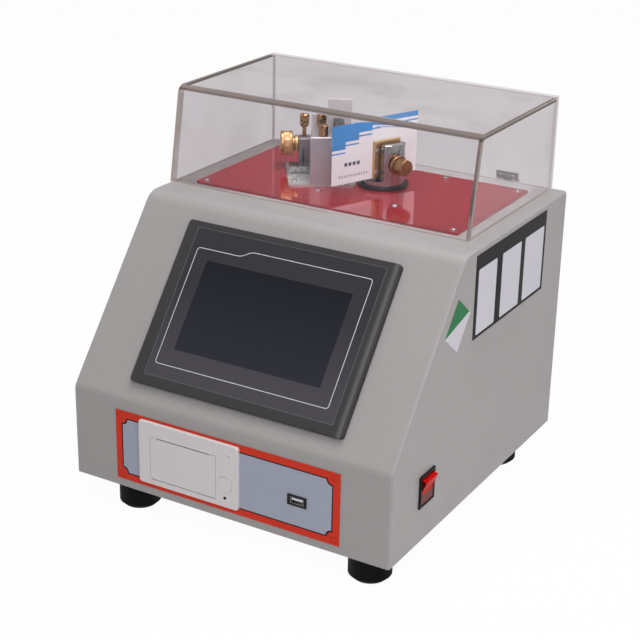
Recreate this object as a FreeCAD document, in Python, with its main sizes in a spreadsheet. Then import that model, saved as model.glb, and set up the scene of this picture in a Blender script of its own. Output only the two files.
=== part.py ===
import FreeCAD, Part
import os
import re
import Sketcher

# Paper stiffness tester: a bench cabinet with a touch panel and a printer, and on its deck,
# under a hinged clear cover, a turning specimen clamp beside a sliding load unit.
# Millimetres and degrees. X runs right seen from the front, Y back and Z up. The origin
# lies on the bench, under the middle of the cabinet.
# The clamp pieces use axes on the spindle at deck level: X away from the card, Y along it.
# The load unit pieces use axes on the same point: X along the slide, Y to the back.

SIZES = {
    # cabinet
    "body_width": 340, "body_depth": 350, "body_height": 250, "knee_height": 90.6,
    "slope_angle": 51.8, "sheet_wall": 1.5, "knee_radius": 12, "brow_radius": 20,
    "side_radius": 2.5, "flange_width": 14, "base_wall": 2, "panel_wall": 1.5, "fit": 0.3,
    "vent_width": 3, "vent_length": 34, "vent_pitch": 8, "vent_count": 9, "vent_height": 150,
    "vent_offset": 70,
    # screws of the case
    "case_screw": 3, "case_head": 5.6, "case_head_height": 2, "case_screw_length": 7,
    "screw_inset": 24,
    # feet
    "foot_height": 27, "foot_diameter": 40, "foot_edge": 4, "foot_screw": 4, "foot_head": 8,
    "foot_head_height": 3, "foot_recess": 15, "foot_web": 6, "foot_left": 114,
    "foot_right": 138.5, "foot_front": 25, "foot_rear": 58, "foot_screw_end": 5,
    # touch panel
    "touch_width": 226.5, "touch_length": 163.5, "touch_proud": 5, "touch_side": 2.4,
    "touch_rise": 100.4, "touch_corner": 3.5, "film_width": 202, "film_length": 148.5,
    "film_rise": 1.8, "film_depth": 1.2, "film_wall": 0.9, "film_corner": 2,
    "view_width": 157, "view_length": 90, "housing_width": 212, "housing_length": 150,
    "housing_depth": 32, "housing_step": 10, "housing_inset": 16, "clip_width": 10,
    "clip_depth": 12, "clip_reach": 4, "clip_place": 60,
    # printed plate and printer
    "plate_left": 121, "plate_right": 120.2, "plate_low": 8.1, "plate_tall": 71, "plate_wall": 0.8,
    "printer_left": 93, "printer_width": 109.5, "printer_low": 13.5, "printer_tall": 63.5,
    "printer_proud": 4, "printer_corner": 3, "printer_rim": 5, "printer_depth": 58,
    "printer_wall": 3, "door_left": 80, "door_width": 73, "door_low": 19, "door_tall": 44,
    "door_wall": 2.5, "door_gap": 0.4, "slot_width": 59, "slot_drop": 0.9, "door_axis_rise": 2,
    "door_axis_depth": 1.5, "door_edge": 1.1, "stub_diameter": 1.4, "stub_length": 1.6,
    "ear_wall": 2.5, "ear_depth": 8, "ear_tall": 9, "ear_drop": 2.5, "platen_diameter": 7,
    "platen_pin": 2.5, "platen_back": 3.9, "roll_diameter": 34, "roll_width": 57,
    "roll_core": 12, "well_depth": 42, "button_diameter": 16, "button_across": 95.3,
    "button_rise": 22.8, "button_proud": 0.5, "button_wall": 2.8, "key_width": 7.5,
    "key_tall": 6.5, "key_across": 97, "key_rise": 49.5, "lamp_diameter": 2.6,
    "lamp_across": 96, "lamp_rise": 9.7, "key_gap": 0.25,
    # socket for data
    "usb_left": 67.5, "usb_width": 19.5, "usb_low": 35.8, "usb_tall": 10.1, "usb_proud": 1.8,
    "usb_shell_width": 14, "usb_shell_tall": 6.6, "usb_shell_wall": 0.4, "usb_depth": 14,
    "usb_tongue_tall": 1.9, "usb_tongue_inset": 1, "usb_back": 3,
    # rocker switch
    "switch_front": 51.5, "switch_width": 28.5, "switch_low": 35.4, "switch_tall": 31.5,
    "switch_proud": 2, "switch_depth": 22, "switch_rim": 2, "switch_edge": 1,
    "rocker_width": 22.4, "rocker_half": 12, "rocker_nose": 3.2, "rocker_back": 3.2,
    "rocker_tilt": 11, "rocker_seat": 1.7, "rocker_gap": 0.5, "rocker_pin": 2.4,
    "rocker_well": 11,
    # labels on the right side
    "label_front": 145.5, "label_width": 156.5, "label_low": 163.5, "label_tall": 80.5,
    "label_wall": 0.4, "turned_centre": 113, "turned_rise": 188.8, "turned_width": 32,
    "turned_tall": 38.5, "turned_angle": 38.5,
    # mains inlet
    "inlet_side": 110, "inlet_rise": 50, "inlet_width": 28, "inlet_tall": 24,
    "inlet_flange_width": 50, "inlet_wall": 2.4, "inlet_depth": 24, "inlet_recess": 16,
    "inlet_rim": 2.2, "inlet_pin_wide": 2, "inlet_pin_tall": 4, "inlet_pin_pitch": 7,
    "inlet_pin_length": 13, "inlet_hole_pitch": 40, "inlet_bevel": 4,
    # inside the cabinet
    "supply_width": 99, "supply_length": 82, "supply_tall": 30, "supply_left": 45,
    "supply_rear": 73, "supply_step": 12, "supply_step_tall": 14, "supply_wall": 1.2,
    "board_width": 120, "board_length": 90, "board_wall": 1.6, "board_left": 150,
    "board_rear": 70, "board_lift": 6, "post_diameter": 6, "post_inset": 6, "chip_tall": 3,
    "chip_size": 18, "socket_tall": 11, "socket_depth": 9,
    # deck plate
    "deck_left": 146.2, "deck_right": 139, "deck_front": 169.5, "deck_rear": 25.5,
    "deck_wall": 2, "deck_corner": 3, "deck_inset": 8, "deck_screw": 3, "deck_head": 6,
    "deck_head_height": 1.7, "deck_screw_length": 9, "inner_across": 42, "inner_along": 54,
    # spindle and drive
    "spindle_side": 12.1, "spindle_rear": 87, "spindle_diameter": 12, "spindle_collar": 18,
    "spindle_drop": 52, "flange_diameter": 50, "flange_wall": 3, "tube_diameter": 36,
    "tube_length": 30, "bearing_diameter": 28, "bearing_width": 8, "bearing_top": 2,
    "bearing_groove": 0.8, "tube_bore": 22, "run": 0.05, "axial": 0.3,
    "coupling_diameter": 22, "coupling_top": 42, "coupling_length": 24, "shaft_diameter": 5,
    "shaft_top": 54, "bracket_half": 35, "bracket_flange": 15, "bracket_length": 122,
    "bracket_wall": 2, "bracket_drop": 72, "motor_width": 42.3, "motor_length": 40,
    "motor_corner": 5, "motor_pilot": 22, "motor_screw": 3, "motor_pitch": 31,
    "motor_screw_length": 6, "motor_screw_head": 5.5,
    # clamp
    "clamp_heading": 24, "disc_diameter": 42.6, "disc_wall": 5, "column_face": 11.5,
    "column_half": 12.6, "column_top": 45, "column_edge": 0.6, "rear_jaw_half": 14,
    "rear_jaw_back": 8, "rear_jaw_top": 48, "rear_jaw_edge": 3, "card_face": 6.2,
    "card_wall": 0.5, "card_low": 10.8, "card_high": 69, "card_out": 68, "card_in": 35,
    "jaw_gap": 0.05, "press_wall": 3, "press_left": 19, "press_right": 13, "press_low": 11.5,
    "press_high": 48, "press_edge": 0.8, "press_screw": 3, "press_head": 5,
    "press_head_height": 1.3, "press_screw_left": 15.8, "press_screw_high": 38.1,
    "press_screw_low": 17.1, "grip_rise": 25, "grip_shank": 5, "grip_wheel": 20,
    "grip_wheel_wall": 3.2, "grip_start": 21.8, "grip_diameter": 16, "grip_length": 11,
    "grip_edge": 0.8, "hub_diameter": 8, "pin_length": 3,
    # load unit
    "load_heading": 34, "load_left": 92.8, "load_right": 27, "load_front": 7.6,
    "load_back": 70, "load_wall": 2, "load_corner": 3, "load_screw_inset": 6,
    "front_left": 72.3, "front_right": 52, "front_wall": 3, "front_top": 49.3,
    "front_edge": 0.8, "rail_back": 35, "rail_top_width": 18, "rail_foot_width": 12,
    "rail_tall": 8, "rail_end": 2, "bracket_left": 80, "bracket_right": 69,
    "bracket_depth": 16, "bracket_top": 31.5, "bracket_edge": 1.5, "screw_back": 61,
    "screw_rise": 24.5, "screw_diameter": 5, "screw_end": 52, "knob_left": 98.6,
    "knob_wall": 12.2, "knob_diameter": 25, "knob_edge": 1, "knob_hub": 16,
    "knob_groove": 12, "knob_groove_wall": 1.6, "carriage_left": 69, "carriage_right": 30,
    "carriage_front": 2, "carriage_back": 50, "carriage_top": 40, "carriage_step": 26,
    "carriage_step_back": 18, "carriage_edge": 1.2, "slide_gap": 0.1, "lug_left": 62,
    "lug_right": 50, "lug_tall": 13, "lug_reach": 18, "tall_back": 39, "tall_wall": 3,
    "tall_right": 29.4, "tall_step": 53, "tall_left": 68.7, "tall_top": 72.7,
    "tall_step_top": 60, "cell_left": 46.7, "cell_width": 8.9, "cell_front": 4,
    "cell_low": 45, "cell_tall": 12, "cell_hole": 7, "cell_hole_pitch": 16,
    "cell_slot": 1.5, "probe_gap": 0.1, "probe_reach": 50, "probe_pin": 2, "probe_low": 20,
    "probe_high": 60, "probe_rod": 2.6, "probe_rise": 51, "thumb_head": 9.3,
    "thumb_head_tall": 12.4, "thumb_neck": 4, "thumb_edge": 0.8, "thumb_left_side": 74.6,
    "thumb_left_rise": 42, "thumb_rear_side": 59.4, "thumb_rear_back": 33,
    "thumb_rear_rise": 50.7, "thumb_front_side": 59.1, "thumb_front_back": 5,
    "thumb_front_rise": 46.3, "thumb_thread": 6, "thumb_root": 29,
    # cable of the load cell
    "cable_diameter": 1.6, "cable_side": 76, "cable_back": 46.6, "cable_rise": 14,
    "cable_bend": 4.5,
    # cover
    "cover_left": 169.5, "cover_right": 154.5, "cover_front": 159, "cover_lean": 16.4,
    "cover_tall": 93.4, "cover_wall": 4.5, "cover_bend": 9, "cover_seat": 0.3,
    "hinge_width": 24, "hinge_tall": 9.2, "hinge_leaf": 1.2, "knuckle_diameter": 4.4,
    "hinge_pin": 2, "hinge_inset": 38, "knuckle_gap": 0.3, "hinge_screw": 2.5,
    "hinge_head": 4.6, "hinge_head_height": 1.2, "hinge_screw_rise": 5.6,
    "hinge_screw_pitch": 14, "hinge_nut": 5, "hinge_nut_height": 2,
    "hinge_screw_length": 6,
}

# lengths worked out from the sizes
TOP = "(foot_height + body_height)"
DECK = "(foot_height + body_height + deck_wall)"
FRONT = "(-body_depth / 2)"
REAR = "(body_depth / 2)"
SIDE = "(body_width / 2)"
KNEE = "(foot_height + knee_height)"
SLOPE_RUN = "((body_height - knee_height) / tan(slope_angle))"
SPINDLE_X = "spindle_side"
SPINDLE_Y = "(body_depth / 2 - spindle_rear)"
PLATE_FRONT = "(-body_depth / 2 - plate_wall)"
DISC_LOW = "(flange_wall + axial)"
DISC_TOP = "(flange_wall + axial + disc_wall)"
PRESS_BACK = "(card_face + card_wall + jaw_gap)"
PRESS_FRONT = "(card_face + card_wall + jaw_gap + press_wall)"
SLIDE_LOW = "(load_wall + axial)"
MOTOR_FACE = "(bracket_drop + bracket_wall)"
COVER_LOW = "(foot_height + body_height + cover_seat)"
COVER_TOP = "(foot_height + body_height + cover_tall)"
COVER_FRONT = "(cover_front - body_depth / 2)"
LEAN = "(cover_wall * sqrt(cover_tall ^ 2 + cover_lean ^ 2) / cover_tall)"
DOOR_FACE = "(-body_depth / 2 - printer_proud)"
DOOR_LOW = "(foot_height + door_low + door_gap)"
DOOR_AXIS_Y = "(-body_depth / 2 - printer_proud + door_axis_depth)"
DOOR_AXIS_Z = "(foot_height + door_low + door_axis_rise)"

doc = FreeCAD.newDocument("StiffnessTester")
sheet = doc.addObject("Spreadsheet::Sheet", "Sizes")
for row, (alias, number) in enumerate(SIZES.items(), start=1):
    sheet.set("A%d" % row, alias)
    sheet.set("B%d" % row, str(number))
    sheet.setAlias("B%d" % row, alias)
doc.recompute()

made = []


def formula(text):
    """The text with each size's name pointing at its cell in the sheet."""
    return re.sub(r"[a-z_]+", lambda word: "Sizes." + word.group() if word.group() in SIZES
                  else word.group(), text)


def value(text):
    """The number that a formula gives now."""
    return float(sheet.evalExpression(formula(text)))


def new_body(name, place=("0", "0", "0"), axis=None, turn=None):
    """A body at a place, turned about an axis of its own."""
    body = doc.addObject("PartDesign::Body", name)
    body.Label = name
    if axis:
        rotation = FreeCAD.Rotation(FreeCAD.Vector(*axis), 1.0)
        body.Placement = FreeCAD.Placement(FreeCAD.Vector(), rotation)
        body.setExpression("Placement.Rotation.Angle", formula(turn))
    for letter, where in zip("xyz", place):
        body.setExpression("Placement.Base." + letter, formula(where))
    made.append(body)
    return body


def slope_body(name):
    """A body on the sloped face: X across, Y up the slope from the knee, Z outwards."""
    return new_body(name, ("0", FRONT, KNEE), (1, 0, 0), "slope_angle")


def clamp_body(name):
    """A body on the spindle at deck level, its X square to the card and its Y along it."""
    return new_body(name, (SPINDLE_X, SPINDLE_Y, DECK), (0, 0, 1), "-clamp_heading")


def load_body(name):
    """A body on the spindle at deck level, its X along the load unit's slide."""
    return new_body(name, (SPINDLE_X, SPINDLE_Y, DECK), (0, 0, 1), "load_heading")


def add_sketch(body, name, plane, start="0"):
    """A sketch on one of the body's own planes, moved by start along the axis it faces."""
    sketch = body.newObject("Sketcher::SketchObject", body.Name + "_" + name + "_sketch")
    planes = [item for item in body.Origin.OriginFeatures if item.Role == plane + "_Plane"]
    sketch.AttachmentSupport = (planes[0], [""])
    sketch.MapMode = "FlatFace"
    # the XZ plane faces -Y
    sign = "-" if plane == "XZ" else ""
    sketch.setExpression("AttachmentOffset.Base.z", formula("%s(%s)" % (sign, start)))
    return sketch


def bind(sketch, constraint, text):
    """Adds a dimension to the sketch that follows a formula."""
    index = sketch.addConstraint(Sketcher.Constraint(*constraint, value(text)))
    sketch.setExpression("Constraints[%d]" % index, formula(text))


def box(left, low, right, high):
    """A rectangle's corners."""
    return [(left, low), (right, low), (right, high), (left, high)]


def centred_box(across, up, width, tall):
    """The corners of a rectangle about its centre."""
    half_width = "(%s) / 2" % width
    half_tall = "(%s) / 2" % tall
    return box("%s - %s" % (across, half_width), "%s - %s" % (up, half_tall),
               "%s + %s" % (across, half_width), "%s + %s" % (up, half_tall))


def draw(sketch, shapes):
    """Draws closed outlines: lists of corners, or circles as (across, up, diameter)."""
    for shape in shapes:
        if isinstance(shape, tuple):
            across, up, diameter = shape
            centre = FreeCAD.Vector(value(across), value(up), 0)
            circle = Part.Circle(centre, FreeCAD.Vector(0, 0, 1), value(diameter) / 2)
            edge = sketch.addGeometry(circle)
            bind(sketch, ("DistanceX", -1, 1, edge, 3), across)
            bind(sketch, ("DistanceY", -1, 1, edge, 3), up)
            bind(sketch, ("Diameter", edge), diameter)
            continue
        corners = [FreeCAD.Vector(value(across), value(up), 0) for across, up in shape]
        ends = corners[1:] + corners[:1]
        lines = [sketch.addGeometry(Part.LineSegment(start, end))
                 for start, end in zip(corners, ends)]
        for line, following in zip(lines, lines[1:] + lines[:1]):
            sketch.addConstraint(Sketcher.Constraint("Coincident", line, 2, following, 1))
        for line, (across, up) in zip(lines, shape):
            bind(sketch, ("DistanceX", -1, 1, line, 1), across)
            bind(sketch, ("DistanceY", -1, 1, line, 1), up)


def extrude(body, name, plane, shapes, start, length, cut=False):
    """Adds or cuts a prism from start over length, towards the plane's positive axis."""
    sketch = add_sketch(body, name, plane, start)
    draw(sketch, shapes)
    kind = "PartDesign::Pocket" if cut else "PartDesign::Pad"
    feature = body.newObject(kind, body.Name + "_" + name)
    feature.Profile = sketch
    feature.Reversed = (plane == "XZ") != cut
    feature.setExpression("Length", formula(length))
    return feature


def cut(body, name, plane, shapes, start, length):
    """Cuts a prism from start over length."""
    return extrude(body, name, plane, shapes, start, length, cut=True)


def revolve(body, name, about, profile):
    """Turns a profile about the body's Z, as (radius, up), or X, as (along, radius)."""
    sketch = add_sketch(body, name, "XZ" if about == "Z" else "XY")
    draw(sketch, [profile])
    feature = body.newObject("PartDesign::Revolution", body.Name + "_" + name)
    feature.Profile = sketch
    feature.ReferenceAxis = (sketch, ["V_Axis" if about == "Z" else "H_Axis"])
    feature.Angle = 360
    return feature


def soften(body, name, size, pick, chamfer=False):
    """Rounds or bevels the edges of the body so far that pick accepts."""
    doc.recompute()
    base = body.Tip
    edges = ["Edge%d" % number for number, edge in enumerate(base.Shape.Edges, start=1)
             if pick(edge)]
    kind = "PartDesign::Chamfer" if chamfer else "PartDesign::Fillet"
    feature = body.newObject(kind, body.Name + "_" + name)
    feature.Base = (base, edges)
    feature.setExpression("Size" if chamfer else "Radius", formula(size))
    return feature


def runs_along(edge, axis):
    """Whether a straight edge runs along the axis x, y or z."""
    if not isinstance(edge.Curve, Part.Line):
        return False
    direction = edge.Curve.Direction
    return abs(getattr(direction, axis)) > 0.999


def all_at(edge, axis, text):
    """Whether the whole edge lies at one coordinate."""
    box_of_edge = edge.BoundBox
    low = getattr(box_of_edge, axis.upper() + "Min")
    high = getattr(box_of_edge, axis.upper() + "Max")
    return max(abs(low - value(text)), abs(high - value(text))) < 0.01


def at(edge, **places):
    """Whether the edge's middle has the given coordinates."""
    centre = edge.CenterOfMass
    return all(abs(getattr(centre, axis) - value(text)) < 0.01
               for axis, text in places.items())


def round_about(edge, diameter):
    """Whether the edge is a circle of this diameter."""
    return isinstance(edge.Curve, Part.Circle) and \
        abs(edge.Curve.Radius - value(diameter) / 2) < 0.01


def foot_places():
    """The centres of the four feet."""
    return [(x, y) for x in ("-foot_left", "foot_right")
            for y in (f"{FRONT} + foot_front", f"{REAR} - foot_rear")]


def base_screw_places():
    """Screws through the base into the cabinet's lower flanges."""
    across = f"({SIDE} - sheet_wall - flange_width / 2)"
    return [(sign + across, y) for sign in ("-", "")
            for y in (f"{FRONT} + screw_inset", "0", f"{REAR} - screw_inset")]


def rear_screw_places():
    """Screws through the rear panel into the cabinet's rear flanges."""
    across = f"({SIDE} - sheet_wall - flange_width / 2)"
    return [(sign + across, z) for sign in ("-", "")
            for z in ("foot_height + screw_inset", "foot_height + body_height / 2",
                      f"{TOP} - screw_inset")]


def deck_corner_places():
    """The four screws near the deck plate's corners."""
    low = f"({FRONT} + deck_front + deck_inset)"
    high = f"({REAR} - deck_rear - deck_inset)"
    return [(x, y) for x in ("-deck_left + deck_inset", "deck_right - deck_inset")
            for y in (low, high)]


def deck_inner_places():
    """The four screws that hold the motor's bracket under the deck."""
    return [(f"{SPINDLE_X} {a} inner_across", f"{SPINDLE_Y} {b} inner_along")
            for a in "-+" for b in "-+"]


def load_base_holes():
    """The base screws in the load unit's own axes."""
    return [(x, y) for x in ("(-load_left + load_screw_inset)", "(-load_right - load_screw_inset)")
            for y in ("(load_back - load_screw_inset)",
                      "(load_screw_inset - load_front + 2 * front_wall)")]


def load_screw_places():
    """The load unit's base screws, in the cabinet's axes."""
    return [load_point(x, y, "0")[:2] for x, y in load_base_holes()]


def circles(places, diameter):
    """One circle at each place."""
    return [(x, y, diameter) for x, y in places]


def hinge_lefts():
    """The left end of each cover hinge, mirrored about the middle of the cover."""
    return ["(cover_right - hinge_inset - hinge_width)", "(hinge_inset - cover_left)"]


def hinge_screw_places(rise):
    """Two screws in each hinge leaf."""
    return [(f"{left} + hinge_width / 2 {sign} hinge_screw_pitch / 2", rise)
            for left in hinge_lefts() for sign in "-+"]


def touch_corner(width, length, rise="0"):
    """A rectangle on the touch panel's centre."""
    return centred_box("touch_side", f"touch_rise + {rise}", width, length)


def printer_box(left, low, width, tall):
    """A rectangle on the printer's front, its lower left corner given from the cabinet's."""
    return box(f"-{left}", f"foot_height + {low}", f"-{left} + {width}",
               f"foot_height + {low} + {tall}")


def button_circle(diameter):
    """A circle on the printer's release button."""
    return ("-printer_left + button_across", "foot_height + printer_low + button_rise", diameter)


def key_box(gap):
    """A rectangle on the printer's feed key."""
    return centred_box("-printer_left + key_across", "foot_height + printer_low + key_rise",
                       f"key_width + 2 * {gap}", f"key_tall + 2 * {gap}")


def cabinet_profile(inset):
    """The cabinet's side outline: front, slope, top, rear. Inset by the wall when inside."""
    return [(f"{FRONT} + {inset}", "foot_height"),
            (f"{FRONT} + {inset}", f"{KNEE} - {inset} * tan((90 - slope_angle) / 2)"),
            (f"{FRONT} + {SLOPE_RUN} + {inset} * tan(slope_angle / 2)", f"{TOP} - {inset}"),
            (REAR, f"{TOP} - {inset}"),
            (REAR, "foot_height")]


def cabinet_shell():
    body = new_body("cabinet_shell")
    extrude(body, "outer", "YZ", [cabinet_profile("0")], f"-{SIDE}", "body_width")
    cut(body, "inside", "YZ", [cabinet_profile("sheet_wall")], f"-{SIDE} + sheet_wall",
        "body_width - 2 * sheet_wall")
    knee, brow = cabinet_profile("sheet_wall")[1:3]
    soften(body, "inner_knee", "knee_radius - sheet_wall",
           lambda e: runs_along(e, "x") and at(e, y=knee[0], z=knee[1]))
    soften(body, "inner_brow", "brow_radius - sheet_wall",
           lambda e: runs_along(e, "x") and at(e, y=brow[0], z=brow[1]))
    soften(body, "knee", "knee_radius", lambda e: runs_along(e, "x") and at(e, z=KNEE))
    soften(body, "brow", "brow_radius",
           lambda e: runs_along(e, "x") and at(e, y=f"{FRONT} + {SLOPE_RUN}", z=TOP))
    soften(body, "sides", "side_radius",
           lambda e: abs(abs(e.CenterOfMass.x) - value(SIDE)) < 0.01
           and not all_at(e, "z", "foot_height") and not all_at(e, "y", REAR))
    inner = f"({SIDE} - sheet_wall)"
    flanges = [box(f"-{inner}", f"{FRONT} + sheet_wall", f"-{inner} + flange_width",
                   f"{REAR} - panel_wall"),
               box(f"{inner} - flange_width", f"{FRONT} + sheet_wall", inner,
                   f"{REAR} - panel_wall")]
    extrude(body, "lower_flanges", "XY", flanges, "foot_height + base_wall", "sheet_wall")
    low = "foot_height + base_wall"
    uprights = [box(f"-{inner}", low, f"-{inner} + flange_width", f"{TOP} - sheet_wall"),
                box(f"{inner} - flange_width", low, inner, f"{TOP} - sheet_wall")]
    extrude(body, "rear_flanges", "XZ", uprights, f"{REAR} - panel_wall - sheet_wall",
            "sheet_wall")
    cut(body, "base_holes", "XY", circles(base_screw_places(), "case_screw"),
        "foot_height", "base_wall + sheet_wall + 1")
    cut(body, "rear_holes", "XZ", circles(rear_screw_places(), "case_screw"),
        f"{REAR} - panel_wall - sheet_wall - 1", "sheet_wall + 2")
    cut(body, "deck_holes", "XY",
        circles(deck_corner_places() + deck_inner_places() + load_screw_places(), "deck_screw")
        + [(SPINDLE_X, SPINDLE_Y, "tube_diameter")],
        f"{TOP} - sheet_wall - 1", "sheet_wall + 2")
    front = [printer_box("(printer_left - printer_rim)", "(printer_low + printer_rim)",
                         "(printer_width - 2 * printer_rim)", "(printer_tall - 2 * printer_rim)"),
             centred_box("usb_left + usb_width / 2", "foot_height + usb_low + usb_tall / 2",
                         "usb_shell_width + 2", "usb_shell_tall + 2")]
    cut(body, "front_holes", "XZ", front, f"{FRONT} - 1", "sheet_wall + 2")
    switch = centred_box(f"{FRONT} + switch_front + switch_width / 2",
                         "foot_height + switch_low + switch_tall / 2",
                         "switch_width - 2 * switch_rim", "switch_tall - 2 * switch_rim")
    cut(body, "switch_hole", "YZ", [switch], f"{SIDE} - sheet_wall - 1", "sheet_wall + 2")
    touch = add_sketch(body, "touch_hole", "XY")
    touch.AttachmentOffset = FreeCAD.Placement(
        FreeCAD.Vector(), FreeCAD.Rotation(FreeCAD.Vector(1, 0, 0), 1.0))
    touch.setExpression("AttachmentOffset.Rotation.Angle", formula("slope_angle"))
    touch.setExpression("AttachmentOffset.Base.y", formula(FRONT))
    touch.setExpression("AttachmentOffset.Base.z", formula(KNEE))
    draw(touch, [touch_corner("housing_width", "housing_length")])
    opening = body.newObject("PartDesign::Pocket", "touch_opening")
    opening.Profile = touch
    opening.setExpression("Length", formula("sheet_wall + 1"))
    return body


def base_plate():
    body = new_body("base_plate")
    half = f"({SIDE} - sheet_wall - fit)"
    extrude(body, "plate", "XY", [box(f"-{half}", f"{FRONT} + sheet_wall + fit", half,
                                      f"{REAR} - panel_wall - fit")],
            "foot_height", "base_wall")
    cut(body, "screw_holes", "XY", circles(base_screw_places(), "case_screw"),
        "foot_height", "base_wall")
    cut(body, "foot_holes", "XY", circles(foot_places(), "foot_screw"),
        "foot_height", "base_wall")
    return body


def rear_panel():
    body = new_body("rear_panel")
    half = f"({SIDE} - sheet_wall - fit)"
    extrude(body, "plate", "XZ", [box(f"-{half}", "foot_height", half,
                                      f"{TOP} - sheet_wall - fit")],
            f"{REAR} - panel_wall", "panel_wall")
    cut(body, "screw_holes", "XZ", circles(rear_screw_places(), "case_screw"),
        f"{REAR} - panel_wall", "panel_wall")
    cut(body, "hinge_holes", "XZ",
        circles(hinge_screw_places(f"{TOP} - hinge_screw_rise"), "hinge_screw"),
        f"{REAR} - panel_wall", "panel_wall")
    cut(body, "inlet_hole", "XZ",
        [centred_box("inlet_side", "foot_height + inlet_rise", "inlet_width", "inlet_tall")]
        + circles([(f"inlet_side {sign} inlet_hole_pitch / 2", "foot_height + inlet_rise")
                   for sign in "-+"], "case_screw"),
        f"{REAR} - panel_wall", "panel_wall")
    slot = add_sketch(body, "vent", "XZ", f"{REAR} - panel_wall")
    draw(slot, [box("-vent_offset - vent_width / 2", "foot_height + vent_height",
                    "-vent_offset + vent_width / 2", "foot_height + vent_height + vent_length")])
    vent = body.newObject("PartDesign::Pocket", "rear_vent")
    vent.Profile = slot
    vent.setExpression("Length", formula("panel_wall"))
    row = body.newObject("PartDesign::LinearPattern", "rear_vents")
    row.Originals = [vent]
    row.Direction = (slot, ["H_Axis"])
    row.setExpression("Length", formula("vent_pitch * (vent_count - 1)"))
    row.setExpression("Occurrences", formula("vent_count"))
    body.Tip = row
    return body


def rubber_feet():
    body = new_body("rubber_feet")
    extrude(body, "feet", "XY", circles(foot_places(), "foot_diameter"), "0", "foot_height")
    soften(body, "edges", "foot_edge",
           lambda e: all_at(e, "z", "0") and round_about(e, "foot_diameter"), chamfer=True)
    cut(body, "recesses", "XY", circles(foot_places(), "foot_recess"), "0",
        "foot_height - foot_web")
    cut(body, "holes", "XY", circles(foot_places(), "foot_screw"), "foot_height - foot_web",
        "foot_web")
    return body


def case_screws():
    """Pan-headed screws of the base, rear panel, feet and fixed hinge leaves."""
    body = new_body("case_screws")
    base = circles(base_screw_places(), "case_head")
    extrude(body, "base_heads", "XY", base, "foot_height - case_head_height", "case_head_height")
    extrude(body, "base_shanks", "XY", circles(base_screw_places(), "case_screw"),
            "foot_height", "case_screw_length")
    extrude(body, "foot_heads", "XY", circles(foot_places(), "foot_head"),
            "foot_height - foot_web - foot_head_height", "foot_head_height")
    extrude(body, "foot_shanks", "XY", circles(foot_places(), "foot_screw"),
            "foot_height - foot_web", "foot_web + base_wall + foot_screw_end")
    rear = rear_screw_places()
    inlet = [(f"inlet_side {sign} inlet_hole_pitch / 2", "foot_height + inlet_rise")
             for sign in "-+"]
    extrude(body, "rear_heads", "XZ", circles(rear, "case_head"), REAR, "case_head_height")
    extrude(body, "inlet_heads", "XZ", circles(inlet, "case_head"), f"{REAR} + inlet_wall",
            "case_head_height")
    extrude(body, "rear_shanks", "XZ", circles(rear, "case_screw"),
            f"{REAR} - case_screw_length", "case_screw_length")
    extrude(body, "inlet_shanks", "XZ", circles(inlet, "case_screw"),
            f"{REAR} - case_screw_length", "case_screw_length + inlet_wall")
    hinge = hinge_screw_places(f"{TOP} - hinge_screw_rise")
    extrude(body, "hinge_heads", "XZ", circles(hinge, "hinge_head"), f"{REAR} + hinge_leaf",
            "hinge_head_height")
    extrude(body, "hinge_shanks", "XZ", circles(hinge, "hinge_screw"),
            f"{REAR} - hinge_screw_length", "hinge_screw_length + hinge_leaf")
    return body


def deck_plate():
    body = new_body("deck_plate")
    extrude(body, "plate", "XY",
            [box("-deck_left", f"{FRONT} + deck_front", "deck_right",
                 f"{REAR} - deck_rear")], TOP, "deck_wall")
    soften(body, "corners", "deck_corner", lambda e: runs_along(e, "z"))
    cut(body, "holes", "XY",
        circles(deck_corner_places() + deck_inner_places() + load_screw_places(), "deck_screw")
        + [(SPINDLE_X, SPINDLE_Y, "tube_diameter")], TOP, "deck_wall")
    return body


def deck_screws():
    """Screws of the deck plate and of the load unit's base."""
    body = new_body("deck_screws")
    deck = deck_corner_places() + deck_inner_places()
    extrude(body, "heads", "XY", circles(deck, "deck_head"), DECK, "deck_head_height")
    extrude(body, "load_heads", "XY", circles(load_screw_places(), "deck_head"),
            f"{DECK} + load_wall", "deck_head_height")
    soften(body, "head_edges", "deck_head_height / 2",
           lambda e: round_about(e, "deck_head")
           and (all_at(e, "z", f"{DECK} + deck_head_height")
                or all_at(e, "z", f"{DECK} + load_wall + deck_head_height")))
    extrude(body, "shanks", "XY", circles(deck, "deck_screw"),
            f"{DECK} - deck_screw_length", "deck_screw_length")
    extrude(body, "load_shanks", "XY", circles(load_screw_places(), "deck_screw"),
            f"{DECK} - deck_screw_length", "deck_screw_length + load_wall")
    return body


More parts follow.
